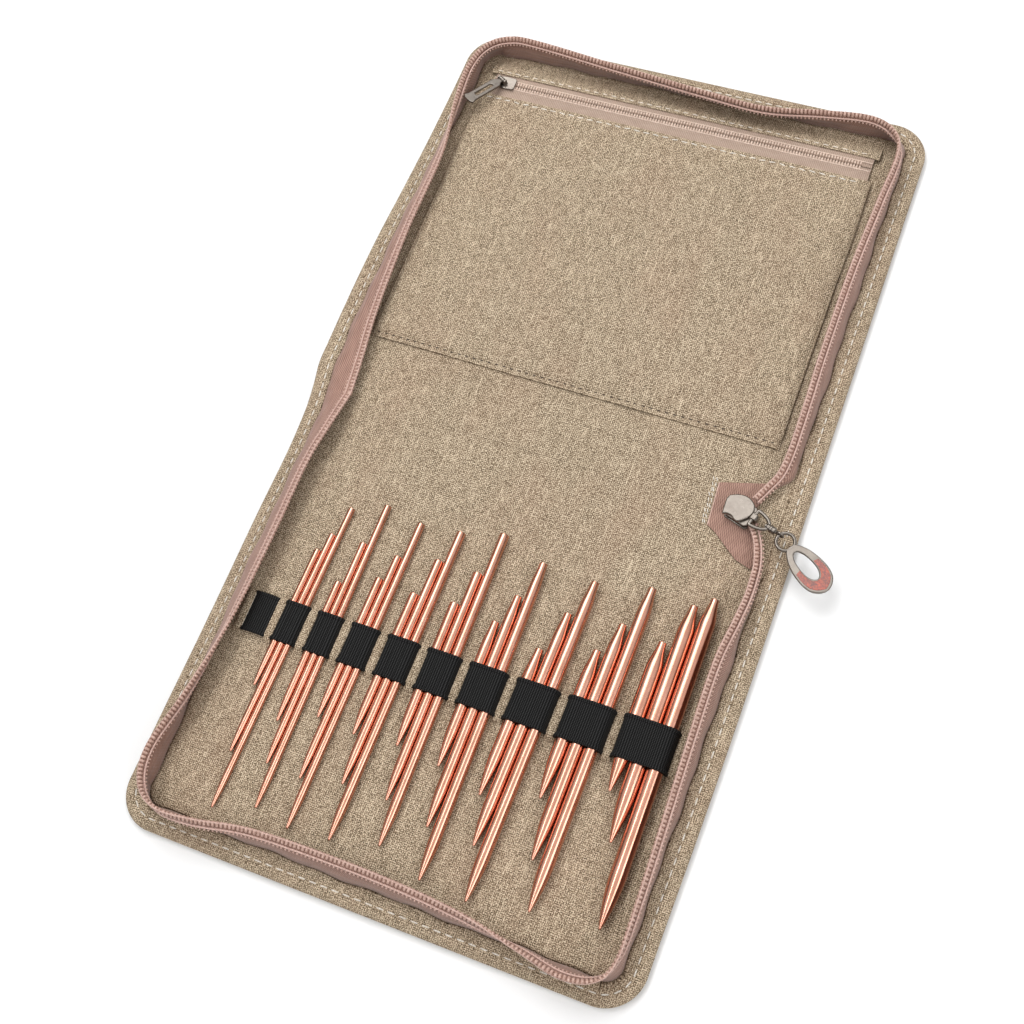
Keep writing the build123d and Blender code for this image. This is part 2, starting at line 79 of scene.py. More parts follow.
# ---- mesh building -------------------------------------------------------------------
class Shape:
    """Collects patches of mesh in millimetres; each vertex also gets a place on its cloth."""

    def __init__(self):
        self.points, self.cloth, self.faces = [], [], []

    def add(self, points, faces, cloth=None):
        start = len(self.points)
        points = np.asarray(points, float).reshape(-1, 3)
        cloth = points if cloth is None else np.asarray(cloth, float).reshape(-1, 3)
        self.points.extend(points.tolist())
        self.cloth.extend(cloth.tolist())
        self.faces.extend([tuple(start + i for i in face) for face in faces])

    def grid(self, points, cloth=None, flip=False, around=False, ends=False):
        """A patch from rows and columns of points; around joins each row's end to its start."""
        rows, columns = points.shape[:2]
        faces = []
        for r in range(rows - 1):
            for c in range(columns if around else columns - 1):
                d = (c + 1) % columns
                quad = (r * columns + c, r * columns + d, (r + 1) * columns + d, (r + 1) * columns + c)
                faces.append(quad[::-1] if flip else quad)
        if ends:
            first = tuple(range(columns))
            last = tuple((rows - 1) * columns + c for c in range(columns))
            faces.append(first if flip else first[::-1])
            faces.append(last[::-1] if flip else last)
        self.add(points, faces, cloth)

    def tube(self, path, radius, sides=6, flatten=1.0):
        """A closed round wire along a path."""
        path = np.asarray(path, float)
        along = unit(np.gradient(path, axis=0))
        side = unit(np.cross(along, [0.0, 0.0, 1.0]) + 1e-9)
        over = np.cross(side, along)
        turn = np.linspace(0, 2 * math.pi, sides, endpoint=False)
        ring = (side[:, None] * np.cos(turn)[None, :, None]
                + flatten * over[:, None] * np.sin(turn)[None, :, None])
        points = path[:, None] + radius * ring
        length = distances(path)
        cloth = np.stack(np.broadcast_arrays(length[:, None], radius * turn[None], 0.0), -1)
        self.grid(points, cloth, around=True, ends=True)

    def beads(self, centres, along, over, side, size, shape=(10, 6), power=0.7):
        """Rounded blocks of one size, one at each centre, turned to its own three directions."""
        points, faces = bead(shape, power)
        for c, a, o, s in zip(centres, along, over, side):
            basis = np.stack([a * size[0], o * size[1], s * size[2]]) / 2
            self.add(c + points @ basis, faces)

    def make(self, name, material, body=None, slot=None, merge=0.0, thickness=0.0,
             offset=-1.0, sharp=50.0, subdivide=0):
        """Turns the patches into one object that rides on a body."""
        mesh = bpy.data.meshes.new(name)
        mesh.from_pydata((np.array(self.points) * MM).tolist(), [], self.faces)
        layer = mesh.attributes.new("cloth", "FLOAT_VECTOR", "POINT")
        layer.data.foreach_set("vector", np.array(self.cloth, np.float32).ravel())
        obj = bpy.data.objects.new(name, mesh)
        bpy.context.scene.collection.objects.link(obj)
        if merge:
            weld = obj.modifiers.new("weld", "WELD")
            weld.merge_threshold = merge * MM
        if subdivide:
            finer = obj.modifiers.new("finer", "SUBSURF")
            finer.levels = subdivide
            finer.render_levels = subdivide
        if thickness:
            thicken = obj.modifiers.new("thicken", "SOLIDIFY")
            thicken.thickness = thickness * MM
            thicken.offset = offset
        apply_modifiers(obj)
        return finish_piece(obj, material, body, sharp)


def apply_modifiers(obj):
    """Bakes an object's modifiers into its mesh."""
    if obj.modifiers:
        graph = bpy.context.evaluated_depsgraph_get()
        made = bpy.data.meshes.new_from_object(obj.evaluated_get(graph))
        obj.modifiers.clear()
        obj.data = made


def finish_piece(obj, material, body, sharp=50.0):
    """Smooth shading with creases over an angle, material and body."""
    mesh = obj.data
    mesh.shade_smooth()
    mesh.set_sharp_from_angle(angle=math.radians(sharp))
    mesh.materials.clear()
    mesh.materials.append(material)
    if body:
        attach(obj, body)
    return obj


def unit(vectors):
    """Vectors scaled to length one."""
    return vectors / np.maximum(np.linalg.norm(vectors, axis=-1, keepdims=True), 1e-9)


def distances(path):
    """Running length at each point of a path."""
    steps = np.linalg.norm(np.diff(path, axis=0), axis=-1)
    return np.concatenate([[0.0], np.cumsum(steps)])


def smooth(value, low, high):
    """Smooth step from 0 at low to 1 at high."""
    t = np.clip((np.asarray(value, float) - low) / (high - low), 0, 1)
    return t * t * (3 - 2 * t)


def bump_at(value, centre, width):
    """A soft bump of height one."""
    return np.exp(-((np.asarray(value, float) - centre) / width) ** 2)


def resample(path, spacing, *others):
    """A path through the given points, Catmull-Rom, at even spacing; others follow along."""
    keys = np.asarray(path, float)
    stacked = np.concatenate([keys] + [np.asarray(o, float) for o in others], axis=1)
    padded = np.concatenate([[2 * stacked[0] - stacked[1]], stacked, [2 * stacked[-1] - stacked[-2]]])
    fine = []
    for i in range(len(stacked) - 1):
        a, b, c, d = padded[i:i + 4]
        t = np.linspace(0, 1, 24, endpoint=False)[:, None]
        fine.append(0.5 * (2 * b + (c - a) * t + (2 * a - 5 * b + 4 * c - d) * t ** 2
                           + (3 * b - a - 3 * c + d) * t ** 3))
    fine = np.concatenate(fine + [stacked[-1:]])
    length = distances(fine[:, :keys.shape[1]])
    count = max(2, int(round(length[-1] / spacing)) + 1)
    at = np.linspace(0, length[-1], count)
    return np.stack([np.interp(at, length, fine[:, k]) for k in range(fine.shape[1])], -1)


def bead(shape, power):
    """Points and faces of a rounded block two units long each way, centred on the origin."""
    around, up = shape
    rings = []
    for j in range(up + 1):
        tilt = -math.pi / 2 + math.pi * j / up
        z = math.copysign(abs(math.sin(tilt)) ** power, math.sin(tilt))
        r = max(abs(math.cos(tilt)), 1e-4) ** power
        ring = []
        for i in range(around):
            turn = 2 * math.pi * i / around
            x = math.copysign(abs(math.cos(turn)) ** power, math.cos(turn)) * r
            y = math.copysign(abs(math.sin(turn)) ** power, math.sin(turn)) * r
            ring.append((x, y, z))
        rings.append(ring)
    points = [(0, 0, -1.0)] + [p for ring in rings[1:-1] for p in ring] + [(0, 0, 1.0)]
    last = len(points) - 1
    faces = []
    for i in range(around):
        k = (i + 1) % around
        faces.append((0, 1 + k, 1 + i))
        for j in range(up - 2):
            a = 1 + j * around
            faces.append((a + i, a + k, a + around + k, a + around + i))
        a = 1 + (up - 2) * around
        faces.append((a + i, a + k, last))
    return np.array(points, float), faces


# ---- materials -----------------------------------------------------------------------
class Shader:
    """A material and short calls for the nodes used here."""

    def __init__(self, name, **surface):
        self.material = bpy.data.materials.new(name)
        self.material.use_nodes = True
        self.tree = self.material.node_tree
        self.surface = self.tree.nodes["Principled BSDF"]
        for key, value in surface.items():
            self.feed(self.surface.inputs[key.replace("_", " ")], value)

    def feed(self, socket, value):
        if isinstance(value, bpy.types.NodeSocket):
            self.tree.links.new(value, socket)
        else:
            socket.default_value = value

    def node(self, kind, inputs=(), **settings):
        node = self.tree.nodes.new("ShaderNode" + kind)
        for key, value in settings.items():
            setattr(node, key, value)
        for key, value in dict(inputs).items():
            self.feed(node.inputs[key], value)
        return node

    def cloth(self):
        return self.node("Attribute", attribute_name="cloth").outputs["Vector"]

    def place(self):
        return self.node("TexCoord").outputs["Object"]

    def stretched(self, vector, x, y, z=1.0):
        scale = {"Vector": vector, "Scale": (x, y, z)}
        return self.node("Mapping", scale, vector_type="POINT").outputs["Vector"]

    def noise(self, vector, scale=1.0, detail=2.0, rough=0.5):
        inputs = {"Vector": vector, "Scale": scale, "Detail": detail, "Roughness": rough}
        return self.node("TexNoise", inputs).outputs["Fac"]

    def span(self, value, low, high, to_low=0.0, to_high=1.0):
        inputs = {0: value, 1: low, 2: high, 3: to_low, 4: to_high}
        return self.node("MapRange", inputs).outputs[0]

    def math(self, operation, a, b=0.0):
        return self.node("Math", {0: a, 1: b}, operation=operation).outputs[0]

    def split(self, vector):
        return self.node("SeparateXYZ", {0: vector}).outputs

    def mix(self, factor, a, b):
        node = self.node("Mix", {0: factor}, data_type="RGBA")
        self.feed(node.inputs[6], a)
        self.feed(node.inputs[7], b)
        return node.outputs[2]

    def colour(self, value):
        self.feed(self.surface.inputs["Base Color"], value)

    def rough(self, value):
        self.feed(self.surface.inputs["Roughness"], value)

    def relief(self, height, distance, strength=1.0):
        inputs = {"Height": height, "Distance": distance * MM, "Strength": strength}
        bump = self.node("Bump", inputs)
        self.feed(self.surface.inputs["Normal"], bump.outputs["Normal"])


def rgb(red, green, blue):
    """A display colour, 0 to 255, as linear light."""
    linear = []
    for channel in (red, green, blue):
        c = channel / 255
        linear.append(c / 12.92 if c <= 0.04045 else ((c + 0.055) / 1.055) ** 2.4)
    return (*linear, 1.0)


def sine(shader, value, period):
    """A sine of a coordinate, from -1 to 1."""
    return shader.math("SINE", shader.math("MULTIPLY", value, 2 * math.pi / period))


def linen(name, light, middle, dark, pink, thread=0.78):
    """Melange plain weave: every thread changes shade along its length, over and under in turn."""
    s = Shader(name, Specular_IOR_Level=0.12)
    cloth = s.cloth()
    u, v, _ = s.split(cloth)
    column = s.math("FLOOR", s.math("DIVIDE", u, thread))
    row = s.math("FLOOR", s.math("DIVIDE", v, thread))
    warp_at = s.node("CombineXYZ", {0: s.math("MULTIPLY", column, 3.7), 1: s.math("MULTIPLY", v, 0.22)})
    weft_at = s.node("CombineXYZ", {0: s.math("MULTIPLY", row, 4.3), 1: s.math("MULTIPLY", u, 0.3), 2: 9.0})
    warp = s.span(s.noise(warp_at.outputs[0], 1.0, 2.0, 0.6), 0.32, 0.68)
    weft = s.span(s.noise(weft_at.outputs[0], 1.0, 2.0, 0.6), 0.32, 0.68)
    over = s.math("MULTIPLY", sine(s, u, 2 * thread), sine(s, v, 2 * thread))
    face = s.span(over, -0.12, 0.12)
    mixed = s.math("ADD", s.math("MULTIPLY", warp, face), s.math("MULTIPLY", weft, s.math("SUBTRACT",
                                                                                          1.0, face)))
    # the mask below is lowest in the gaps between threads: in the colour it paints shade into those gaps, in the
    # relief it sinks them
    gap_depth_and_shade = s.span(s.math("ABSOLUTE", over), 0.0, 0.35, 0.0, 1.0)
    fleck = s.noise(cloth, 2.3, 0.0, 0.5)
    slub_at = s.node("CombineXYZ", {0: s.math("MULTIPLY", column, 5.3), 1: s.math("MULTIPLY", v, 0.11),
                                    2: 20.0})
    slub = s.span(s.noise(slub_at.outputs[0], 1.0, 0.0, 0.5), 0.6, 0.78)
    # the gap mask's share here darkens the colour between threads: painted shade
    shade = s.math("ADD", s.math("MULTIPLY", mixed, 0.26), s.math("MULTIPLY", gap_depth_and_shade, 0.3))
    shade = s.math("ADD", shade, s.math("MULTIPLY", s.span(fleck, 0.34, 0.66), 0.42))
    shade = s.math("ADD", shade, s.math("MULTIPLY", slub, 0.1))
    low = s.mix(s.span(shade, 0.18, 0.5), dark, middle)
    both = s.mix(s.span(shade, 0.5, 0.86), low, light)
    patch = s.noise(s.stretched(cloth, 0.035, 0.016), 1.0, 2.0, 0.6)
    s.colour(s.mix(s.span(patch, 0.45, 0.75, 0.0, 0.35), both, s.mix(0.35, both, pink)))
    s.rough(0.9)
    s.relief(s.math("ADD", s.math("MULTIPLY", gap_depth_and_shade, 0.5), s.math("MULTIPLY", mixed, 0.6)), 0.16, 0.7)
    return s.material


def twill(name, colour, shade, period=0.9, slope=1.0):
    """Woven zip tape: fine diagonal ribs and a few ridges along its length."""
    s = Shader(name, Sheen_Weight=0.25, Sheen_Roughness=0.4, Specular_IOR_Level=0.3)
    cloth = s.cloth()
    u, v, _ = s.split(cloth)
    diagonal = s.math("ADD", u, s.math("MULTIPLY", v, slope))
    ribs = sine(s, diagonal, period)
    cross = sine(s, v, period * 0.8)
    weave = s.math("ADD", s.math("MULTIPLY", ribs, 0.5), s.math("MULTIPLY", cross, 0.2))
    ridge = s.math("POWER", s.math("ABSOLUTE", sine(s, v, 9.0)), 12.0)
    wear = s.noise(s.stretched(cloth, 0.15, 0.5), 1.0, 3.0, 0.6)
    # rib crests are painted lighter and the grooves between them darker from the weave mask: painted light and
    # shade, mixed with random wear mottling
    rib_shading_and_mottle = s.math("ADD", s.span(weave, -0.7, 0.7, 0.0, 0.55), s.math("MULTIPLY", wear, 0.45))
    s.colour(s.mix(s.span(rib_shading_and_mottle, 0.2, 0.8), shade, colour))
    s.rough(0.75)
    s.relief(s.math("ADD", weave, s.math("MULTIPLY", ridge, 0.8)), 0.16, 0.8)
    return s.material


def thread(name, colour, shade):
    """Sewing thread: twisted strands."""
    s = Shader(name, Sheen_Weight=0.3, Specular_IOR_Level=0.3)
    place = s.place()
    strand = s.noise(place, 2600.0, 1.0)
    s.colour(s.mix(s.span(strand, 0.35, 0.65), shade, colour))
    s.rough(0.6)
    s.relief(strand, 0.08, 0.6)
    return s.material


def nylon(name, colour, shade):
    """Zip teeth: smooth dyed nylon, a little worn."""
    s = Shader(name, Specular_IOR_Level=0.45)
    spots = s.noise(s.place(), 900.0, 2.0)
    s.colour(s.mix(s.span(spots, 0.35, 0.65), shade, colour))
    s.rough(s.span(spots, 0.3, 0.7, 0.38, 0.55))
    s.relief(spots, 0.03, 0.5)
    return s.material


def ribbed_elastic(name):
    """Black elastic: close ribs across the band, finer picks between them."""
    s = Shader(name, Specular_IOR_Level=0.16)
    cloth = s.cloth()
    u, v, _ = s.split(cloth)
    ribs = s.math("ABSOLUTE", sine(s, u, 1.7))
    picks = sine(s, v, 0.6)
    height = s.math("ADD", ribs, s.math("MULTIPLY", picks, 0.3))
    lint = s.noise(cloth, 2.5, 3.0, 0.7)
    # rib tops are painted lighter and the grooves darker from the rib height: painted highlight and shade, plus
    # random lint mottling
    rib_shading_and_mottle = s.math("ADD", s.math("MULTIPLY", height, 0.6), s.math("MULTIPLY", lint, 0.5))
    s.colour(s.mix(s.span(rib_shading_and_mottle, 0.55, 1.05), rgb(3, 3, 3), rgb(58, 58, 58)))
    s.rough(0.7)
    s.relief(height, 0.22, 0.9)
    return s.material


def metal(name, colour, shade, rough, grain=(4000.0, 60.0), depth=0.006):
    """Plated metal with a fine grain drawn along it and slight mottling."""
    s = Shader(name, Metallic=1.0)
    place = s.place()
    drawn = s.noise(s.stretched(place, grain[0], grain[1], grain[0]), 1.0, 2.0)
    cloud = s.noise(place, 120.0, 3.0, 0.6)
    s.colour(s.mix(s.span(cloud, 0.3, 0.7), shade, colour))
    s.rough(s.math("ADD", s.span(drawn, 0.3, 0.7, rough * 0.8, rough * 1.2),
                   s.math("MULTIPLY", cloud, 0.04)))
    s.relief(drawn, depth, 0.5)
    return s.material


def vitreous(name):
    """Enamel: mottled orange and rust under a clear gloss."""
    s = Shader(name, Coat_Weight=0.8, Coat_Roughness=0.06, Specular_IOR_Level=0.5)
    grains = s.noise(s.place(), 1500.0, 3.0, 0.7)
    cloud = s.noise(s.place(), 350.0, 2.0)
    speckle = s.mix(s.span(grains, 0.42, 0.6), rgb(112, 28, 6), rgb(186, 66, 16))
    s.colour(s.mix(s.span(cloud, 0.35, 0.7, 0.0, 0.5), speckle, rgb(86, 44, 26)))
    s.rough(0.3)
    s.relief(grains, 0.02, 0.3)
    return s.material


def plain(name, colour, shade, scale, rough=0.8, depth=0.1):
    """Board and foam, which mostly stay hidden: a fine mottled surface."""
    s = Shader(name)
    grains = s.noise(s.place(), scale, 3.0, 0.6)
    s.colour(s.mix(s.span(grains, 0.35, 0.65), shade, colour))
    s.rough(rough)
    s.relief(grains, depth, 0.6)
    return s.material


LINEN = linen("linen", rgb(218, 200, 174), rgb(133, 115, 93), rgb(42, 32, 23), rgb(156, 110, 91))
TAPE = twill("tape_twill", rgb(182, 145, 130), rgb(116, 86, 74), 1.15)
CORD = thread("tape_cord", rgb(212, 182, 170), rgb(176, 140, 128))
POCKET_TAPE = twill("pocket_tape_twill", rgb(186, 164, 148), rgb(146, 124, 109), 0.8, 0.0)
COIL = nylon("coil_nylon", rgb(206, 174, 160), rgb(172, 138, 124))
POCKET_COIL = nylon("pocket_coil_nylon", rgb(222, 200, 184), rgb(192, 168, 152))
PALE_THREAD = thread("pale_thread", rgb(236, 231, 222), rgb(196, 186, 172))
DARK_THREAD = thread("dark_thread", rgb(74, 56, 40), rgb(46, 34, 25))
ELASTIC = ribbed_elastic("black_elastic")
ROSE = metal("rose_gold", rgb(226, 168, 146), rgb(212, 152, 128), 0.15, (700.0, 700.0), 0.0)
NICKEL = metal("nickel", rgb(140, 133, 125), rgb(122, 114, 107), 0.3, (900.0, 900.0), 0.0005)
ENAMEL = vitreous("rust_enamel")
BOARD = plain("grey_board", rgb(128, 118, 106), rgb(98, 90, 80), 300.0)
FOAM = plain("white_foam", rgb(222, 220, 214), rgb(196, 194, 188), 900.0, 0.9, 0.3)


# ---- the case's outline ----------------------------------------------------------------
def stations():
    """Stations round the far half, from the middle of the left edge to the middle of the right:
    point, outward normal and corner share (0 on a straight, up to 1 in the middle of a corner)."""
    straight_y = HALF_L - CORNER_R
    straight_x = HALF_W - CORNER_R
    near = np.arange(0, 24, 1.0)
    ys = np.concatenate([near, np.linspace(24, straight_y, 62)])
    xs = np.linspace(-straight_x, straight_x, 73)
    turns = np.linspace(0, math.pi / 2, 49)[1:-1]
    rows = [(-HALF_W, y, -1, 0, 0) for y in ys]
    for t in turns:
        rows.append((-straight_x - CORNER_R * math.cos(t), straight_y + CORNER_R * math.sin(t),
                     -math.cos(t), math.sin(t), math.sin(2 * t)))
    rows += [(x, HALF_L, 0, 1, 0) for x in xs]
    for t in turns:
        rows.append((straight_x + CORNER_R * math.sin(t), straight_y + CORNER_R * math.cos(t),
                     math.sin(t), math.cos(t), math.sin(2 * t)))
    rows += [(HALF_W, y, 1, 0, 0) for y in ys[::-1]]
    rows = np.array(rows, float)
    return rows[:, :2], rows[:, 2:4], rows[:, 4], ys, xs


OUTLINE, NORMAL, CORNER, ROW_Y, COLUMN_X = stations()
ALONG = distances(OUTLINE)

# where the tape leaves the border, by half: (place along the outline in shares, inset)
SEAM = {
    -1: [(0.0, 7.4), (0.16, 7.0), (0.24, 8.6), (0.30, 9.4), (0.36, 9.4), (0.62, 9.4), (0.70, 8.9), (1.0,
                                                                                                    8.6)],
    1: [(0.0, 7.2), (0.22, 7.0), (0.28, 8.6), (0.32, 9.2), (0.37, 8.5), (0.62, 8.5), (0.70, 8.7), (1.0, 8.6)],
}
# how far the soft edges stand out from the case's nominal width: (place along, distance)
LEFT_EDGE = [(-193, 0.0), (-150, -0.4), (-120, -0.9), (-60, -1.2), (-20, -1.5), (-8, -0.8), (2, 0.6),
             (13, 2.6), (22, 2.8), (82, 2.7), (100, 1.8), (130, 0.6), (160, 0.0), (193, 0.0)]
RIGHT_EDGE = [(-193, 0.0), (-160, 0.3), (-130, 0.8), (-30, 1.1), (20, 0.7), (80, 0.4), (140, 0.0), (193,
                                                                                                    -0.2)]


def along_curve(keys, at):
    """A smooth curve through (place, value) keys."""
    places = np.array([key[0] for key in keys], float)
    values = np.array([key[1] for key in keys], float)
    slope = np.gradient(values, places)
    at = np.clip(at, places[0], places[-1])
    i = np.clip(np.searchsorted(places, at, side="right") - 1, 0, len(places) - 2)
    gap = places[i + 1] - places[i]
    t = (at - places[i]) / gap
    return ((2 * t ** 3 - 3 * t ** 2 + 1) * values[i] + (t ** 3 - 2 * t ** 2 + t) * gap * slope[i]
            + (3 * t ** 2 - 2 * t ** 3) * values[i + 1] + (t ** 3 - t ** 2) * gap * slope[i + 1])


def seam_inset(side):
    """Inset of the tape's seam at each station."""
    share = ALONG / ALONG[-1]
    places, values = zip(*SEAM[side])
    found = np.interp(share, places, values)
    kernel = np.hanning(25)
    found = np.convolve(np.pad(found, 12, mode="edge"), kernel / kernel.sum(), mode="valid")
    wander = 0.3 * np.sin(ALONG * 0.31 + side) + 0.25 * np.sin(ALONG * 0.13)
    return found + wander * smooth(ALONG, 0, 12) * (1 - smooth(CORNER, 0.0, 0.3))


def settle(points):
    """The soft case isn't quite straight: each long edge swells or draws in a little."""
    points = np.array(points, float)
    x, y = points[..., 0].copy(), points[..., 1].copy()
    edge = np.clip((np.abs(x) - 60) / 46, 0, 1) ** 2
    left = along_curve(LEFT_EDGE, y)
    right = along_curve(RIGHT_EDGE, y)
    points[..., 0] += np.where(x < 0, -left, right) * edge
    return points


def rings(profile, seam, outer, inner, pucker=None):
    """Rows of points round the half case, one per (inset, height); insets between outer and
    inner follow the seam."""
    made = []
    for inset, z in profile:
        share = float(np.clip((inset - outer) / (inner - outer), 0, 1))
        reach = inset + (seam - 9.6) * share * (1 if inset < 10 else np.clip((CORNER_R - inset) / 5.0, 0, 1))
        flat = OUTLINE - NORMAL * reach[:, None]
        height = np.full(len(flat), float(z))
        if pucker is not None:
            height = height + pucker * share
        made.append(np.concatenate([flat, height[:, None]], axis=1))
    return np.array(made)


def flat_field(z_of):
    """The rectangle between the corner centres, as rows of points, at heights z_of(x, y)."""
    x, y = np.meshgrid(COLUMN_X, ROW_Y)
    return np.stack([x, y, z_of(x, y)], -1)


def corner_puckers(seed, depth):
    """Gathers where the border turns a corner: narrow dips at uneven spacing."""
    chance = random.Random(seed)
    dips = np.zeros(len(ALONG))
    for middle in (np.argmax(CORNER), len(CORNER) - 1 - np.argmax(CORNER[::-1])):
        at = ALONG[middle] - 13.0
        while at < ALONG[middle] + 13.0:
            dips -= depth * chance.uniform(0.4, 1.0) * bump_at(ALONG, at, chance.uniform(0.35, 0.7))
            at += chance.uniform(1.6, 3.2)
    return dips * smooth(CORNER, 0.0, 0.3)


def sided(points, side):
    """Mirrors far-half points to the needle half when side is -1, then settles them."""
    points = np.array(points, float)
    points[..., 1] *= side
    return settle(points)


def fold_with(obj, side):
    """Bakes the piece's transform into its mesh."""
    if side < 0:
        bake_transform(obj)
    else:
        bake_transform(obj)
    return obj


# inset and height, from the border's turned edge, over the rim, to the outside
BORDER = [(9.3, TOP - 1.3), (9.2, TOP - 0.4), (8.9, TOP - 0.04), (8.2, TOP), (7.0, TOP), (5.8, TOP - 0.02),
          (5.0, TOP - 0.14), (STITCH_INSET, TOP - 0.3), (4.0, TOP - 0.14), (3.1, TOP), (2.2, TOP - 0.03),
          (1.3, TOP - 0.22), (0.65, TOP - 0.55), (0.2, TOP - 0.95), (0.0, TOP - 1.4), (0.35, 1.7),
          (1.0, 1.1), (1.9, 0.6), (2.9, 0.25), (3.8, 0.1), (STITCH_INSET, 0.22),
          (4.9, 0.08), (5.5, 0.0), (8.0, 0.0), (12.0, 0.0), (CORNER_R, 0.0)]
LINING_EDGE = [(8.4, TOP - 1.7), (10.3, TOP - 1.5), (10.4, TOP - 0.7), (10.7, TOP - 0.25), (11.5, TOP - 0.05),
               (13.5, TOP), (CORNER_R, TOP)]


def case_shell(side, name, replaced):
    """Outer fabric of one half: border, rim and outside in one sheet."""
    shape = Shape()
    pucker = corner_puckers(4 + side, 1.5)
    seam = seam_inset(side)
    ring = rings(BORDER, seam, STITCH_INSET, 9.0, pucker)
    under = np.array([z < TOP / 2 for _, z in BORDER])
    ring[under] = rings(BORDER, np.full_like(seam, 9.6), STITCH_INSET, 9.0)[under]
    cloth = ring.copy()
    cloth[..., :2] += NORMAL[None] * (1.2 * np.sin(math.pi * np.clip(ring[..., 2:] / TOP, 0, 1)))
    cloth[..., 2] = 0
    shape.grid(sided(ring, side), cloth * [1, side, 1], flip=side < 0)
    field = flat_field(lambda x, y: 0 * x)
    shape.grid(sided(field, side), (field * [1, side, 0]), flip=side > 0)
    obj = shape.make(name, LINEN, slot="case_fabric", merge=0.02, thickness=0.6, offset=-1.0)
    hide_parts(*replaced)
    return fold_with(obj, side)


def lining_height(x, y, side):
    """The lining's own relief: nearly flat, faint ripples, a slight hollow at the crease."""
    ripple = 0.09 * np.sin(x * 0.11 + y * 0.05) + 0.08 * np.sin(y * 0.13 - x * 0.03 + side)
    crease = 0.3 * bump_at(y, CREASE, 1.6)
    return TOP - 0.18 + ripple - crease


def lining(side, name, replaced):
    """Inner fabric of one half, from the zip tape inwards, turned down at its edge."""
    shape = Shape()
    ring = rings(LINING_EDGE, seam_inset(side), 8.0, 8.3)
    joined = (1 - smooth(np.abs(OUTLINE[:, 1]), 20, 28)) * (OUTLINE[:, 0] > 0)
    reach = np.array([0.0, 0.9, 1.0, 1.0, 0.6, 0.0, 0.0])[:, None, None]
    ring[..., :2] += NORMAL[None] * reach * joined[None, :, None]
    ring[1:4, :, 2] += (TOP - 0.1 - ring[1:4, :, 2]) * joined
    drop = TOP - lining_height(ring[..., 0], ring[..., 1], side)
    ring[..., 2] -= drop * np.linspace(0, 1, len(LINING_EDGE))[:, None]
    shape.grid(sided(ring, side), ring * [1, side, 0], flip=side > 0)
    field = flat_field(lambda x, y: lining_height(x, y, side))
    shape.grid(sided(field, side), field * [1, side, 0], flip=side < 0)
    obj = shape.make(name, LINEN, slot="case_fabric", merge=0.02, thickness=0.5, offset=-1.0)
    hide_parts(*replaced)
    return fold_with(obj, side)


def border_stitches(side, name):
    """Running stitch round the border, on both faces."""
    shape = Shape()
    inset = STITCH_INSET
    path = OUTLINE - NORMAL * inset
    path = sided(np.concatenate([path, np.zeros((len(path), 1))], axis=1), side)
    length = distances(path)
    at = np.arange(2.0, length[-1] - 1.0, 4.6)
    spot = np.stack([np.interp(at, length, path[:, k]) for k in range(3)], -1)
    ahead = np.stack([np.interp(at + 0.5, length, path[:, k]) for k in range(3)], -1)
    along = unit(ahead - spot)
    up = np.broadcast_to([0.0, 0.0, 1.0], along.shape)
    across = np.cross(up, along)
    for z in (TOP - 0.06, 0.12):
        shape.beads(spot + [0, 0, z], along, across, up, (3.1, 0.6, 0.5), (8, 6), 0.8)
    return fold_with(shape.make(name, PALE_THREAD, slot="case_fabric"), side)


# ---- main zip ----------------------------------------------------------------------------
# the tape's toothed edge in each half's plan, its height, and the way its last stretch points:
# degrees from upright, outward positive
EDGE_LOWER = [(-86, 0, 9, -80), (-87, 18, 13, -66), (-89, 36, 13.5, -63), (-89, 70, 14, -58),
              (-90, 108, 15, -40), (-94, 140, 17, 20), (-99, 164, 17, 45), (-96, 178, 17, 35),
              (-86, 184.5, 17, -10), (-70, 183.5, 16.5, -50), (-45, 179, 15.5, -60), (0, 178, 15, -62),
              (36, 180, 15.5, -50), (60, 185, 16.5, 20), (78, 189, 16.5, 55), (90, 186, 16.5, 30),
              (95, 177, 17, -10), (95, 155, 16.5, -40), (93, 95, 15, -62), (92.5, 64, 15, -64)]
EDGE_UPPER = [(-86, 0, 9, -80), (-88, 18, 9.5, -78), (-90, 40, 12, -72), (-92, 80, 13.5, -63),
              (-92, 118, 14.5, -52), (-97, 146, 15.5, 20), (-99, 166, 15.5, 46), (-95, 178, 16, 48),
              (-86, 184.5, 16, 45), (-72, 185.5, 16, 42), (-30, 182, 16, 37), (10, 179, 16, 33),
              (36, 178, 16, 34), (60, 182.5, 16, 40), (80, 185, 16, 40), (91, 180.5, 16, 20),
              (95, 170, 15.5, -35), (93.5, 145, 14.5, -62), (92, 110, 14.5, -64), (92, 70, 14, -64),
              (92.5, 54, 14, -66)]
# the last stretch to the slider: foot of the tape, its toothed edge, and the same angle
END_LOWER = [((97.4, 46, 3.2), (94.2, 46, 14.0), -68), ((98.0, 36, 3.5), (95.0, 35, 12.4), -72),
             ((98.0, 27, 4.0), (94.6, 25.5, 10.2), -78), ((97.2, 19.5, 4.6), (93.7, 19, 8.8), -82),
             ((94.6, 12.8, 5.0), (91.0, 11.0, 8.1), -84), ((90.6, 7.2, 5.4), (86.9, 4.6, 7.7), -84)]
END_UPPER = [((97.3, 40, 3.3), (92.6, 39, 12.6), -70), ((97.4, 28, 3.6), (92.4, 28, 10.4), -76),
             ((97.3, 20, 4.2), (91.3, 19.2, 8.8), -80), ((92.6, 14.0, 5.0), (88.4, 12.6, 8.1), -84),
             ((88.8, 8.0, 5.4), (85.2, 6.2, 7.7), -84)]
TEETH_PITCH = 1.65
STRIP_W = 2.9                        # toothed strip along the tape's edge


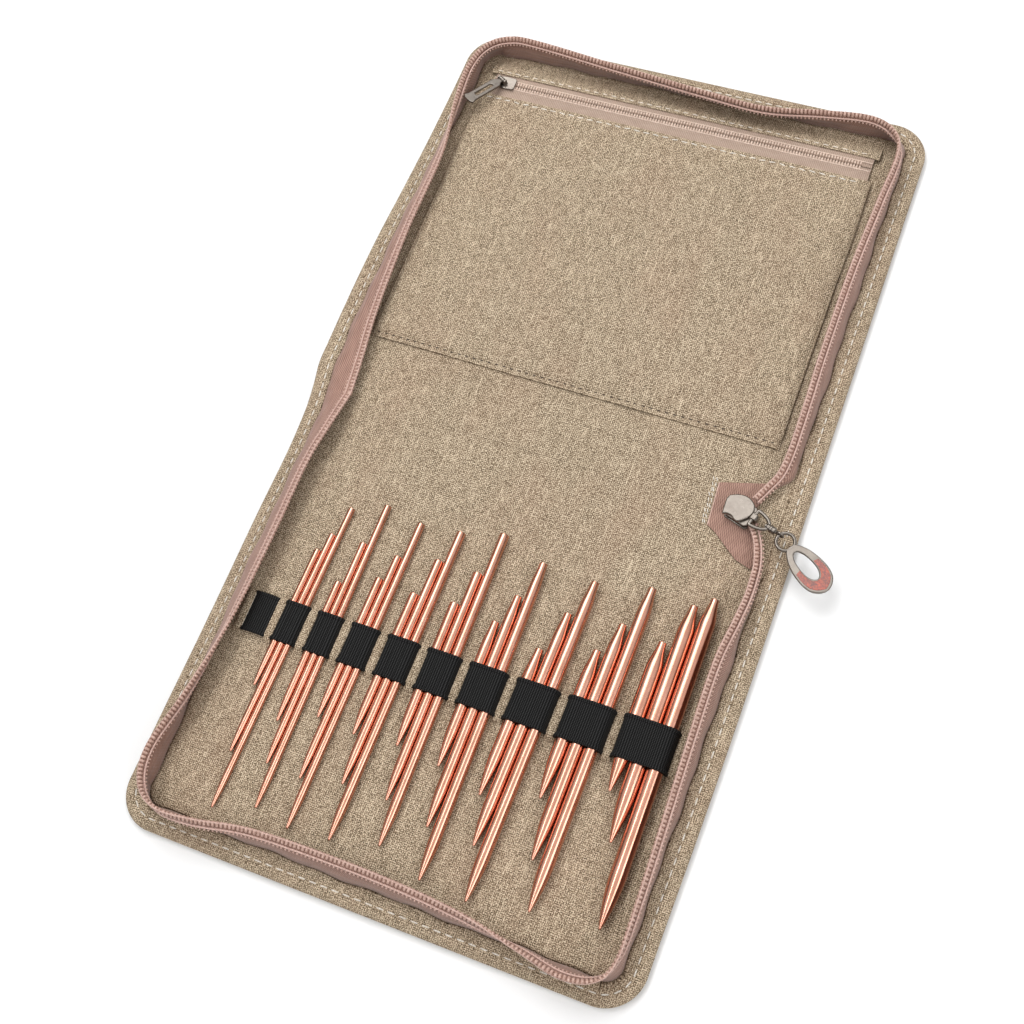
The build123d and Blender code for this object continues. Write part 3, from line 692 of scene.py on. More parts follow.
def zip_lines(side):
    """Foot, toothed edge and edge angle of the tape along one half, evenly spaced."""
    edges = EDGE_LOWER if side < 0 else EDGE_UPPER
    ends = END_LOWER if side < 0 else END_UPPER
    seam = OUTLINE - NORMAL * (seam_inset(side) + 0.1)[:, None]
    seam = sided(np.concatenate([seam, np.full((len(seam), 1), TOP - 0.9)], axis=1), side)
    beside = sided(np.concatenate([OUTLINE - NORMAL * 6.5, np.zeros((len(OUTLINE), 1))], axis=1), side)
    edge_keys = np.array([(x, y * side, z) for x, y, z, _ in edges] + [pair[1] for pair in ends], float)
    edge_keys[len(edges):, 1] *= side
    near = [int(np.argmin(np.hypot(*(beside[:, :2] - key[:2]).T))) for key in edge_keys]
    foot_keys = seam[near]
    foot_keys[len(edges):] = [pair[0] for pair in ends]
    foot_keys[len(edges):, 1] *= side
    free = np.array([[0.0]] * len(edges) + [[1.0]] * len(ends))
    angles = np.array([[key[3]] for key in edges] + [[pair[2]] for pair in ends], float)
    made = resample(edge_keys, TEETH_PITCH / 3, foot_keys, angles, free)
    edge, foot, angle, free = made[:, :3], made[:, 3:6], np.radians(made[:, 6]), made[:, 7:]
    place = np.argmin(np.hypot(*(edge[:, None, :2] - beside[None, :, :2]).T).T, axis=1).astype(float)
    width = 45
    kernel = np.hanning(width)
    place = np.convolve(np.pad(place, width // 2, mode="reflect", reflect_type="odd"), kernel / kernel.sum(),
                        mode="valid")
    place -= place[0] * np.exp(-np.arange(len(place)) / 12)
    along_seam = np.stack([np.interp(place, np.arange(len(seam)), seam[:, k]) for k in range(3)], -1)
    share = smooth(free, 0.0, 1.0)
    return along_seam * (1 - share) + foot * share, edge, angle


def strip_frame(edge, angle, side):
    """Directions along the tape, up its last stretch, and out of its outer face."""
    along = unit(np.gradient(edge, axis=0))
    out = -side * np.cross(along, [0.0, 0.0, 1.0])
    out[:, 2] = 0
    out = unit(out)
    up = out * np.sin(angle)[:, None] + [0, 0, 1] * np.cos(angle)[:, None]
    face = out * np.cos(angle)[:, None] - [0, 0, 1] * np.sin(angle)[:, None]
    return along, up, face


def main_zip(side, name, tape_nodes, coil_nodes):
    """Standing tape, cords along its toothed strip, and the coil showing through both faces."""
    foot, edge, angle = zip_lines(side)
    along, up, face = strip_frame(edge, angle, side)
    rise = np.linalg.norm(edge - foot, axis=1, keepdims=True)
    t = np.linspace(0, 1, 15)[None, :, None]
    first, second = foot + [0, 0, 0.38] * rise, edge - up * np.minimum(rise * 0.42, 5.0)
    curve = ((1 - t) ** 3 * foot[:, None] + 3 * t * (1 - t) ** 2 * first[:, None]
             + 3 * t ** 2 * (1 - t) * second[:, None] + t ** 3 * edge[:, None])
    length = distances(edge)
    across = np.linalg.norm(np.diff(curve, axis=1), axis=-1).cumsum(axis=1)
    across = np.concatenate([np.zeros((len(across), 1)), across], axis=1)
    cloth = np.stack(np.broadcast_arrays(length[:, None], across, 0.0), -1)
    tape = Shape()
    tape.grid(curve, cloth)
    tape = tape.make(name + "_tape", TAPE, slot="zip_tape", thickness=0.5, offset=0.0)
    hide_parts(*tape_nodes)
    fold_with(tape, side)

    cord = Shape()
    cord.tube(edge - up * 0.25 + face * 0.42, 0.3, 6)
    cord.tube(edge - up * STRIP_W + face * 0.34, 0.34, 6)
    cord.tube(edge - up * STRIP_W - face * 0.34, 0.34, 6)
    fold_with(cord.make(name + "_cords", CORD, slot="zip_tape"), side)

    coil = Shape()
    pick = slice(1, -1, 3)
    centres = (edge - up * 0.95)[pick]
    coil.beads(centres, along[pick], up[pick], face[pick], (1.2, 2.3, 1.75), (12, 8), 0.75)
    coil.beads((edge - up * (STRIP_W + 0.8))[pick], along[pick], up[pick], face[pick], (0.8, 0.9, 1.1),
               (8, 6), 0.8)
    coil = coil.make(name + "_coil", COIL, slot="zip_coil")
    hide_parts(*coil_nodes)
    fold_with(coil, side)


# ---- needle sleeve -----------------------------------------------------------------------
SIZES = sorted({node.split("_")[1] for node in frame["nodes"] if node.startswith("tip_")})
LENGTHS = ("short", "medium", "long")
band_low, band_high = low_high("elastic_band")
BAND_Y = (band_low[1] + band_high[1]) / 2
BAND_HALF = (band_high[1] - band_low[1]) / 2
BAND_T = 0.62
HEM = 0.5                            # how much thicker the band is at its rolled edges
SLIT_Z = TOP + 0.05


def tip_line(size, length):
    """Radius of a tip, and its axis as a point and a direction in the plan."""
    low, high = low_high(f"tip_{size}_{length}")
    mount = MOUNTS[f"thread_{size}_{length}"]
    point = np.array(mount["pos_m"][:2]) / MM
    axis = np.array(mount["axis"][:2])
    return (high[2] - low[2]) / 2, point, axis / axis[1]


def loops():
    """Left end, right end and the tips of each loop of the band; the first loop is empty."""
    held = []
    for size in SIZES:
        lines = [tip_line(size, length) for length in LENGTHS]
        radius = lines[0][0]
        middles = [(point + axis * (BAND_Y - point[1]))[0] for _, point, axis in lines]
        slopes = [axis[0] for _, _, axis in lines]
        held.append((min(middles) - radius - 0.9, max(middles) + radius + 0.9, radius, middles, slopes))
    empty_right = held[0][0] - 3.4
    return [(empty_right - 10.2, empty_right, 0.0, [], [])] + held


def taut(left, right, radius, middles):
    """The band's inner line over one loop: stretched over the tips, a little slack between."""
    xs = np.linspace(left, right, 41)
    if not middles:
        return xs, SLIT_Z + 1.5 * np.sin(np.linspace(0, math.pi, 41)) ** 0.5
    reach = radius + 0.14
    centre_z = TOP + 0.05 + radius
    over = np.full(len(xs), SLIT_Z)
    for middle in middles:
        inside = np.clip(1 - ((xs - middle) / reach) ** 2, 0, None)
        over = np.maximum(over, np.where(inside > 0, centre_z + reach * np.sqrt(inside), SLIT_Z))
    hull = over.copy()
    for i in range(len(xs)):
        for j in range(i + 2, len(xs)):
            t = (xs[i + 1:j] - xs[i]) / (xs[j] - xs[i])
            hull[i + 1:j] = np.maximum(hull[i + 1:j], over[i] + (over[j] - over[i]) * t)
    return xs, hull - 0.22 * np.clip(hull - over, 0, 1.4)


def band_section():
    """The band's cross-section: flat below, rolled hems at both edges above."""
    h = BAND_HALF
    upper = [(h, 0.3), (h - 0.05, BAND_T + HEM * 0.6), (h - 0.4, BAND_T + HEM), (h - 1.0,
                                                                                 BAND_T + HEM * 0.95),
             (h - 1.45, BAND_T + HEM * 0.4), (h - 1.7, BAND_T - 0.05), (h - 2.2, BAND_T)]
    middle = [(y, BAND_T) for y in np.linspace(h - 3.0, -h + 3.0, 9)]
    lower = [(y, 0.0) for y in np.linspace(-h, h, 9)]
    return np.array(upper + middle + [(-y, t) for y, t in upper[::-1]] + lower)


def elastic_band():
    """One ribbon through every loop, dipping under the lining strips between them."""
    xs, zs, slope = [], [], []
    for left, right, radius, middles, slopes in loops():
        x, z = taut(left, right, radius, middles)
        xs += [left - 0.9] + x.tolist() + [right + 0.9]
        zs += [SLIT_Z] + z.tolist() + [SLIT_Z]
        slope += [np.mean(slopes) if slopes else 0.0] * (len(x) + 2)
    line = np.stack([xs, zs], -1)
    length = distances(line)
    normal = unit(np.gradient(line, axis=0))[:, ::-1] * [-1, 1]
    kernel = np.array([0.25, 0.5, 0.25])
    for k in (0, 1):
        normal[1:-1, k] = np.convolve(normal[:, k], kernel, mode="valid")
    section = band_section()
    across, lift = section[:, 0], section[:, 1]
    x = line[:, None, 0] + normal[:, None, 0] * lift[None] + np.array(slope)[:, None] * across[None]
    z = line[:, None, 1] + normal[:, None, 1] * lift[None]
    y = BAND_Y + np.broadcast_to(across[None], x.shape)
    cloth = np.stack(np.broadcast_arrays(length[:, None], across[None], 0.0), -1)
    shape = Shape()
    shape.grid(np.stack([x, y, z], -1), cloth, around=True, ends=True, flip=True)
    obj = shape.make("elastic_sleeve", ELASTIC, "lower_cover", "elastic", sharp=60)
    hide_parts("elastic_band")


def strips():
    """The bridges of lining between the band's slits, with pale cut edges."""
    found = loops()
    gaps = [(found[0][0] - 3.4, found[0][0])]
    gaps += [(a[1], b[0]) for a, b in zip(found, found[1:])]
    gaps += [(found[-1][1], found[-1][1] + 3.0)]
    cloth_shape, edge_shape = Shape(), Shape()
    reach = BAND_HALF + 1.5
    y = np.linspace(-reach, reach, 25)
    for left, right in gaps:
        t = np.linspace(-1, 1, 9)
        middle, half = (left + right) / 2, (right - left) / 2 - 0.12
        rise = smooth(reach - np.abs(y), 0.0, 2.2)
        crown = 1 - 0.28 * np.abs(t) ** 3
        z = TOP - 0.12 + 1.55 * rise[:, None] * crown[None]
        x = middle + half * t[None] * (1 - 0.04 * rise[:, None])
        points = np.stack(np.broadcast_arrays(x, BAND_Y + y[:, None], z), -1)
        cloth_shape.grid(points, points * [1, 1, 0], flip=True)
        for end in (0, -1):
            edge_shape.tube(points[2:-2, end], 0.24, 6)
    bridges = cloth_shape.make("sleeve_bridges", LINEN, "lower_cover", "case_fabric", thickness=0.35)
    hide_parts("lining_strips")
    edge_shape.make("sleeve_slit_edges", PALE_THREAD, "lower_cover", "case_fabric")


# ---- pocket --------------------------------------------------------------------------------
panel_low, panel_high = low_high("pocket_panel")
facing_low, facing_high = low_high("pocket_facing")
teeth_low, teeth_high = low_high("pocket_zip_teeth")
tapes_low, tapes_high = low_high("pocket_zip_tapes")
ZIP_Y = (teeth_low[1] + teeth_high[1]) / 2


def stitch_row(shape, start, end, z, length, pitch, width, wander=0.0, seed=1):
    """A straight row of stitches between two plan points, at height z."""
    chance = random.Random(seed)
    start, end = np.array(start, float), np.array(end, float)
    run = np.linalg.norm(end - start)
    ahead = (end - start) / run
    count = int(run / pitch)
    centres, along = [], []
    for i in range(count):
        tilt = chance.uniform(-wander, wander)
        direction = unit(np.array([ahead[0] - ahead[1] * tilt, ahead[1] + ahead[0] * tilt, 0.0]))
        spot = start + ahead * (i + 0.5) * pitch
        centres.append([spot[0], spot[1] + chance.uniform(-0.4, 0.4) * wander, z])
        along.append(direction)
    up = np.broadcast_to([0.0, 0.0, 1.0], (count, 3))
    along = np.array(along)
    shape.beads(np.array(centres), along, np.cross(up, along), up, (length, width, 0.4), (8, 6), 0.8)


def pocket_panel():
    """The pocket's front: a sheet with folded edges, sewn down along the bottom."""
    x0, x1, y0, y1 = panel_low[0], panel_high[0], panel_low[1], panel_high[1]
    top = panel_high[2]
    u = np.concatenate([np.linspace(0, 0.03, 7), np.linspace(0.04, 0.96, 58), np.linspace(0.97, 1, 7)])
    v = np.concatenate([np.linspace(0, 0.04, 9), np.linspace(0.05, 0.96, 44), np.linspace(0.97, 1, 6)])
    u, v = np.meshgrid(u, v)
    x, y = x0 + (x1 - x0) * u, y0 + (y1 - y0) * v
    side_gap = np.minimum(x - x0, x1 - x)
    z = top - 0.75 * (1 - smooth(side_gap, 0.0, 1.6)) - 1.15 * (1 - smooth(y - y0, 0.0, 5.0))
    z -= 0.25 * (1 - smooth(y1 - y, 0.0, 0.8))
    z -= 0.22 * bump_at(y, y0 + 2.0, 0.7) + 0.22 * bump_at(y, y1 - 2.0, 0.7)
    z += 0.12 * np.sin(x * 0.07 + y * 0.03) * np.sin(y * 0.05) - 0.12
    x = x + 0.35 * np.sin(y * 0.06) * (2 * u - 1)
    points = np.stack([x, y, z], -1)
    shape = Shape()
    shape.grid(points, points * [1, 1, 0] + [37, 11, 0])
    obj = shape.make("pocket_front", LINEN, "upper_cover", "case_fabric", thickness=0.8, offset=-1.0)
    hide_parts("pocket_panel")
    hem = Shape()
    hem.tube([(x0 + 0.3, y, top - 1.0) for y in np.linspace(y0 + 3, y1 - 0.5, 60)], 0.45, 7)
    hem.tube([(x1 - 0.3, y, top - 1.0) for y in np.linspace(y0 + 3, y1 - 0.5, 60)], 0.45, 7)
    hem.make("pocket_side_hems", LINEN, "upper_cover", "case_fabric")
    dark = Shape()
    stitch_row(dark, (x0 + 1, y0 + 2.0), (x1 - 1, y0 + 2.0), top - 1.0, 1.5, 3.4, 0.5, 0.15, 3)
    dark.make("pocket_foot_seam", DARK_THREAD, "upper_cover", "case_fabric")
    pale = Shape()
    stitch_row(pale, (x0 + 2, y1 - 1.9), (x1 - 1, y1 - 1.9), top - 0.2, 3.0, 4.4, 0.5, 0.22, 5)
    pale.make("pocket_mouth_seam", PALE_THREAD, "upper_cover", "case_fabric")


def pocket_facing():
    """The strip of lining above the pocket's zip, with its folded edge over the tape."""
    x0, x1 = facing_low[0], facing_high[0]
    y0, y1 = facing_low[1], HALF_L - 11.2
    top = facing_high[2]
    u = np.linspace(0, 1, 70)
    v = np.concatenate([np.linspace(0, 0.12, 6), np.linspace(0.2, 1, 14)])
    u, v = np.meshgrid(u, v)
    x, y = x0 + (x1 - x0) * u, y0 + (y1 - y0) * v
    z = top - 0.25 * (1 - smooth(y - y0, 0.0, 0.6)) - (top - TOP + 0.1) * smooth(y, y0 + 1.5, y1 - 0.5)
    z -= 0.5 * (1 - smooth(np.minimum(x - x0, x1 - x), 0.0, 1.0))
    points = np.stack([x, y, z], -1)
    shape = Shape()
    shape.grid(points, points * [1, 1, 0] + [5, 3, 0])
    obj = shape.make("pocket_top", LINEN, "upper_cover", "case_fabric", thickness=0.6, offset=-1.0)
    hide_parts("pocket_facing")
    seam = Shape()
    stitch_row(seam, (x0 + 2, y0 + 1.5), (x1 - 2, y0 + 1.5), top - 0.05, 2.6, 4.2, 0.4, 0.1, 8)
    seam.make("pocket_top_seam", PALE_THREAD, "upper_cover", "case_fabric")


def pocket_zip():
    """Two narrow tapes and two rows of teeth."""
    tapes, teeth = Shape(), Shape()
    xs = np.linspace(tapes_low[0], tapes_high[0], 90)
    row_half = (teeth_high[1] - teeth_low[1]) / 2
    for sign in (-1, 1):
        near, far = ZIP_Y + sign * 0.2, ZIP_Y + sign * (row_half + 4.6)
        ys = np.linspace(near, far, 12)
        x, y = np.meshgrid(xs, ys)
        z = tapes_high[2] + 0.1 - 0.5 * bump_at(y, ZIP_Y, 0.7) + 0.3 * bump_at(np.abs(y - ZIP_Y),
                                                                               row_half + 0.5, 0.45)
        z = z - 0.15 * smooth(np.abs(y - ZIP_Y), row_half + 1, row_half + 4)
        points = np.stack([x, y, z], -1)
        tapes.grid(points, points * [1, 1, 0], flip=sign < 0)
        row_x = np.arange(teeth_low[0] + 0.6, teeth_high[0] - 0.4, 1.25)
        centres = np.stack(np.broadcast_arrays(row_x, ZIP_Y + sign * 1.05, teeth_high[2] - 0.45), -1)
        count = len(row_x)
        along = np.tile([1.0, 0.0, 0.0], (count, 1))
        over = np.tile([0.0, 1.0, 0.0], (count, 1))
        up = np.tile([0.0, 0.0, 1.0], (count, 1))
        teeth.beads(centres, along, over, up, (0.85, 1.8, 1.2))
        teeth.tube([(x, ZIP_Y + sign * 2.05, teeth_high[2] - 0.25) for x in xs], 0.28, 6)
    obj = tapes.make("pocket_tapes", POCKET_TAPE, "upper_cover", "pocket_tape", thickness=0.35, offset=-1.0)
    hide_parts("pocket_zip_tapes")
    obj = teeth.make("pocket_teeth", POCKET_COIL, "upper_cover", "zip_coil")
    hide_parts("pocket_zip_teeth")


# ---- metal fittings ----------------------------------------------------------------------------
def plate(name, loops_2d, thickness, bevel, material, body, matrix):
    """A flat plate with rounded edges from closed outlines in millimetres; inner ones are holes."""
    curve = bpy.data.curves.new(name + "_outline", "CURVE")
    curve.dimensions = "2D"
    curve.fill_mode = "BOTH"
    curve.extrude = max(thickness / 2 - bevel, 0.001) * MM
    curve.bevel_depth = bevel * MM
    curve.bevel_resolution = 2
    curve.offset = -bevel * MM
    for loop in loops_2d:
        spline = curve.splines.new("POLY")
        spline.points.add(len(loop) - 1)
        for point, (x, y) in zip(spline.points, loop):
            point.co = (x * MM, y * MM, 0, 1)
        spline.use_cyclic_u = True
    holder = bpy.data.objects.new(name + "_outline", curve)
    bpy.context.scene.collection.objects.link(holder)
    graph = bpy.context.evaluated_depsgraph_get()
    mesh = bpy.data.meshes.new_from_object(holder.evaluated_get(graph))
    bpy.data.objects.remove(holder)
    bpy.data.curves.remove(curve)
    mesh.name = name
    mesh.transform(matrix)
    obj = bpy.data.objects.new(name, mesh)
    bpy.context.scene.collection.objects.link(obj)
    return finish_piece(obj, material, body, 40.0)


def heading_frame(origin, ahead):
    """A matrix whose X points ahead in the plan, at a point in millimetres."""
    x = Vector((ahead[0], ahead[1], 0)).normalized()
    y = Vector((-x.y, x.x, 0))
    spot = Vector([c * MM for c in origin])
    return Matrix(((x.x, y.x, 0, spot.x), (x.y, y.y, 0, spot.y), (0, 0, 1, spot.z), (0, 0, 0, 1)))


def placed(points, matrix):
    """Points in millimetres in a piece's own frame, moved to the case's frame."""
    m = np.array(matrix)
    return np.asarray(points, float) @ m[:3, :3].T + m[:3, 3] / MM


def circle(x, y, radius, count=48, start=0.0, end=360.0, closed=True):
    """Points on a circle, or on an arc of it."""
    turn = np.radians(np.linspace(start, end, count, endpoint=not closed))
    return np.stack([x + radius * np.cos(turn), y + radius * np.sin(turn)], -1)


def turned(profile, name, material, body, slot, matrix, sides=32):
    """A piece turned on a lathe: (distance along X, radius) pairs."""
    shape = Shape()
    turn = np.linspace(0, 2 * math.pi, sides, endpoint=False)
    points = [[(x, r * math.cos(t), r * math.sin(t)) for t in turn] for x, r in profile]
    shape.grid(placed(np.array(points), matrix), around=True, ends=True)
    return shape.make(name, material, body, slot, sharp=35)


pin_at = np.array(JOINTS["stirrup_lift"]["pos_m"]) / MM
eye_at = np.array(JOINTS["swivel_spin"]["pos_m"]) / MM
ahead = np.array(JOINTS["swivel_spin"]["axis"][:2])
swing_axis = np.array(JOINTS["teardrop_swing"]["axis"][:2])
drop_ahead = np.array([swing_axis[1], -swing_axis[0]])
slider_at = pin_at[:2] - ahead * SLIDER_PIN_AHEAD


def slider_cap():
    """Crowned cover plate: rounded square with a bite out of it between two horns."""
    low, high = low_high("main_slider_cap")
    crown = [(-6.8, 2.6), (-4.6, 4.5), (-2.0, 5.7), (0.9, 5.8), (3.5, 4.5), (4.8, 2.2), (4.8, -0.2),
             (3.7, -2.4), (2.3, -4.5), (1.3, -5.0), (0.1, -4.8), (-1.5, -4.2), (-3.2, -4.5), (-4.6, -5.4),
             (-5.1, -4.9), (-6.0, -2.4), (-7.0, 0.6)]
    outline = resample([(*p, 0) for p in crown + [crown[0]]], 0.35)[:-1, :2]
    middle = (*slider_at, (low[2] + high[2]) / 2)
    obj = plate("slider_crown", [outline[::-1]], high[2] - low[2], 0.45, NICKEL, "main_slider",
                heading_frame(middle, ahead))
    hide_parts("main_slider_cap")


def slider_body():
    """Two plates joined by a wedge, and the ear that holds the stirrup."""
    low = low_high("main_slider_body")[0]
    base = heading_frame((*slider_at, 0), ahead)
    deck = low_high("main_slider_cap")[0][2]
    outline = [(-5.6, -3.4), (-4.4, -4.6), (4.6, -4.6), (5.6, -3.6), (5.6, 3.6), (4.6, 4.6), (-4.4, 4.6),
               (-5.6, 3.4)]
    for name, z0, z1 in (("slider_sole", low[2], low[2] + 1.0), ("slider_deck", deck - 1.0, deck)):
        frame_here = base @ Matrix.Translation((0, 0, (z0 + z1) / 2 * MM))
        plate(name, [outline], z1 - z0, 0.35, NICKEL, "main_slider", frame_here)
    wedge = [(1.8, -1.2), (3.4, -2.0), (5.6, -1.4), (5.6, 1.4), (3.4, 2.0), (1.8, 1.2)]
    middle = base @ Matrix.Translation((0, 0, (low[2] + deck) / 2 * MM))
    plate("slider_wedge", [wedge], deck - low[2] - 1.2, 0.3, NICKEL, "main_slider", middle)
    upright = Matrix(((1, 0, 0, 0), (0, 0, -1, 0), (0, 1, 0, 0), (0, 0, 0, 1)))
    ear = [(4.9, deck - 0.8), (7.9, deck - 0.8), (7.9, pin_at[2] + 0.6), (7.2, pin_at[2] + 1.25),
           (5.4, pin_at[2] + 1.25), (4.9, pin_at[2] + 0.8)]
    hole = circle(SLIDER_PIN_AHEAD, pin_at[2], 0.68, 24)[::-1]
    plate("slider_ear", [ear, hole], 2.4, 0.22, NICKEL, "main_slider", base @ upright)
    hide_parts("main_slider_body")


def stirrup():
    """D-shaped wire: straight pin through the ear, curved bow ahead, boss for the swivel."""
    base = heading_frame(pin_at, ahead)
    reach, half = 7.0, 3.4
    bow = [(reach * math.cos(t), half * math.sin(t), 0) for t in np.linspace(-1.35, 1.35, 40)]
    bow = [(max(0.0, x), y, z) for x, y, z in bow]
    loop = [(0, 0, 0), (0, -half + 0.5, 0), (0.3, -half, 0)] + bow + [(0.3, half, 0), (0, half - 0.5, 0),
                                                                      (0, 0, 0)]
    fine = resample(loop, 0.35)
    shape = Shape()
    shape.tube(placed(fine, base), 0.72, 12)
    obj = shape.make("pull_stirrup", NICKEL, "stirrup", "nickel", sharp=60)
    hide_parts("pull_d_ring")
    boss = [(reach - 0.85, 0.56), (reach - 0.8, 1.0), (reach - 0.55, 1.2), (reach + 0.5, 1.2),
            (reach + 0.75, 1.0), (reach + 0.8, 0.56)]
    turned(boss, "stirrup_boss", NICKEL, "stirrup", "nickel", base)


def swivel():
    """Barrel with grooves, its stem through the stirrup, and the eye ahead of it."""
    base = heading_frame(eye_at, ahead)
    back = -(np.linalg.norm(eye_at - pin_at) - 7.0)
    barrel = [(back - 1.5, 0.3), (back - 1.5, 0.75), (back - 0.9, 0.75), (back - 0.85, 0.42),
              (back + 0.5, 0.42),
              (back + 0.55, 1.2), (back + 0.75, 1.45), (back + 1.5, 1.45), (back + 1.65,
                                                                            1.15), (back + 1.85, 1.15),
              (back + 2.0, 1.5), (back + 2.9, 1.5), (back + 3.1, 1.25), (back + 3.2, 0.9), (back + 3.9, 0.7),
              (back + 4.0, 0.3)]
    obj = turned(barrel, "pull_swivel_barrel", NICKEL, "swivel", "nickel", base)
    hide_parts("pull_swivel")
    ring = Shape()
    ring.grid(torus(base, 1.5, 0.45, upright=True), around=True)
    ring.make("pull_swivel_eye", NICKEL, "swivel", "nickel", merge=0.005)


def torus(matrix, radius, wire, upright=False, flat=1.0):
    """Rings of points of a torus about the frame's own Z, or about its Y when upright."""
    turn = np.linspace(0, 2 * math.pi, 49)
    small = np.linspace(0, 2 * math.pi, 14, endpoint=False)
    reach = radius + wire * np.cos(small)[None]
    x = reach * np.cos(turn)[:, None]
    y = reach * np.sin(turn)[:, None]
    z = np.broadcast_to(wire * flat * np.sin(small)[None], x.shape)
    points = np.stack([x, -z, y] if upright else [x, y, z], -1)
    return placed(points, matrix)


def drop_loop(stations, spacing=0.4):
    """A closed outline, symmetric about the axis, through (along, half width) stations."""
    keys = [(x, w, 0) for x, w in stations] + [(x, -w, 0) for x, w in stations[-2:0:-1]]
    return resample(keys + [keys[0]], spacing)[:-1, :2]


def teardrop():
    """Ring, teardrop frame and the enamel in its outer half."""
    ring_r = 3.6
    centre = np.array([*(eye_at[:2] + drop_ahead * ring_r), eye_at[2]])
    hang = Matrix.Rotation(math.radians(3.0), 4, "Z")
    base = heading_frame(centre, drop_ahead) @ hang
    low, high = low_high("pull_teardrop")
    thick = high[2] - low[2]
    loop = Shape()
    loop.grid(torus(base, ring_r, 0.68, flat=1.1), around=True)
    loop.make("pull_ring", NICKEL, "teardrop", "nickel", merge=0.005)
    drop = [(2.6, 0.0), (3.0, 1.8), (4.2, 3.0), (6.2, 4.2), (9.0, 5.3), (13.0, 6.1), (17.6, 6.3), (21.4, 5.4),
            (23.8, 3.4), (24.9, 1.2), (25.0, 0.0)]
    hole = [(5.6, 0.0), (6.0, 0.9), (7.2, 1.7), (9.2, 2.4), (12.6, 2.8), (15.8, 2.6), (18.0, 1.7), (19.0,
                                                                                                    0.6),
            (19.2, 0.0)]
    outer, inner = drop_loop(drop), drop_loop(hole)[::-1]
    obj = plate("pull_teardrop_frame", [outer, inner], thick * 0.8, 0.4, NICKEL, "teardrop", base)
    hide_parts("pull_teardrop")
    far = [(x - 0.75 * smooth(x, 14, 24), w - 0.72) for x, w in drop if x > 12.5]
    near = [(x + 0.5 * smooth(x, 14, 18.5), w + 0.5) for x, w in hole if x > 12.5]
    far = resample([(x, max(w, 0.0), 0) for x, w in far] + [(far[-1][0] + 0.02, 0.0, 0)], 0.4)[:, :2]
    near = resample([(x, max(w, 0.0), 0) for x, w in near] + [(near[-1][0] + 0.02, 0.0, 0)], 0.4)[:, :2]
    band = np.concatenate([far, far[-2::-1] * [1, -1], near * [1, -1], near[-2::-1]])
    fill = base @ Matrix.Translation((0, 0, (thick * 0.4 - 0.14) * MM))
    obj = plate("pull_enamel_fill", [band[::-1]], 0.5, 0.16, ENAMEL, "teardrop", fill)
    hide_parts("pull_enamel")


def pocket_fittings():
    """The pocket's slider and its long plain pull with a slot."""
    low, high = low_high("pocket_slider")
    middle_x = (low[0] + high[0]) / 2
    outline = [(-4.2, -1.9), (-3.4, -2.9), (-0.6, -3.2), (3.4, -3.0), (4.2, -2.2), (4.2, 2.2), (3.4, 3.0),
               (-0.6, 3.2), (-3.4, 2.9), (-4.2, 1.9)]
    top = teeth_high[2] + 0.15
    first = None
    for name, z0, z1 in (("pocket_slider_deck", top, top + 0.8), ("pocket_slider_sole", TOP + 0.1,
                                                                  TOP + 0.6)):
        spot = heading_frame((middle_x, ZIP_Y, (z0 + z1) / 2), (1, 0))
        made = plate(name, [outline], z1 - z0, 0.24, NICKEL, "pocket_slider", spot)
        first = first or made
    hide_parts("pocket_slider")
    hinge = JOINTS["pocket_tab_lift"]
    pivot = np.array(hinge["pos_m"]) / MM
    swing = np.array(hinge["axis"][:2])
    out = np.array([swing[1], -swing[0]])
    base = heading_frame(pivot, out)
    upright = Matrix(((1, 0, 0, 0), (0, 0, -1, 0), (0, 1, 0, 0), (0, 0, 0, 1)))
    deck = top + 0.7 - pivot[2]
    lug = [(-1.1, deck), (1.1, deck), (1.0, 0.3), (0.5, 0.85), (-0.5, 0.85), (-1.0, 0.3)]
    for sign in (-1, 1):
        side = base @ Matrix.Translation((0, sign * 1.9 * MM, 0)) @ upright
        plate(f"pocket_slider_lug_{'a' if sign < 0 else 'b'}", [lug], 0.7, 0.15, NICKEL, "pocket_slider",
              side)
    pin = Shape()
    pin.tube(placed([(0, y, 0) for y in np.linspace(-2.2, 2.2, 5)], base), 0.44, 12)
    pin.make("pocket_slider_pin", NICKEL, "pocket_slider", "nickel")
    tab_low, tab_high = low_high("pocket_pull_tab")
    run = np.hypot(*(tab_high - tab_low)[:2]) - 4.6
    pitch = math.atan2(tab_high[2] - pivot[2] - 0.6, run)
    tilt = base @ Matrix.Rotation(-pitch, 4, "Y")
    length = run / math.cos(pitch)
    tab = [(0.9, -1.2), (2.2, -1.5), (3.4, -2.6), (length - 2.0, -2.6), (length - 1.2, -3.1), (length, -3.1),
           (length + 0.6, -1.6), (length + 0.6, 1.6), (length, 3.1), (length - 1.2, 3.1), (length - 2.0, 2.6),
           (3.4, 2.6), (2.2, 1.5), (0.9, 1.2)]
    slot = np.concatenate([circle(length - 5.0, 0, 0.9, 12, -90, 90, False), circle(6.6, 0, 0.9, 12, 90,
                                                                                    270, False)])
    obj = plate("pocket_pull", [tab, slot[::-1]], 1.0, 0.3, NICKEL, "pocket_tab", tilt)
    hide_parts("pocket_pull_tab")
    barrel = Shape()
    rings_of = [[(r * math.cos(t), y, r * math.sin(t)) for t in np.linspace(0, 2 * math.pi, 24,
                                                                            endpoint=False)]
                for y, r in ((-1.3, 0.55), (-1.3, 0.85), (-1.15, 1.0), (1.15, 1.0), (1.3, 0.85), (1.3, 0.55))]
    barrel.grid(placed(np.array(rings_of), tilt), around=True)
    barrel.grid(placed(np.array([rings_of[0], rings_of[-1]]), tilt), around=True, flip=True)
    barrel.make("pocket_pull_barrel", NICKEL, "pocket_tab", "nickel", merge=0.01, sharp=35)


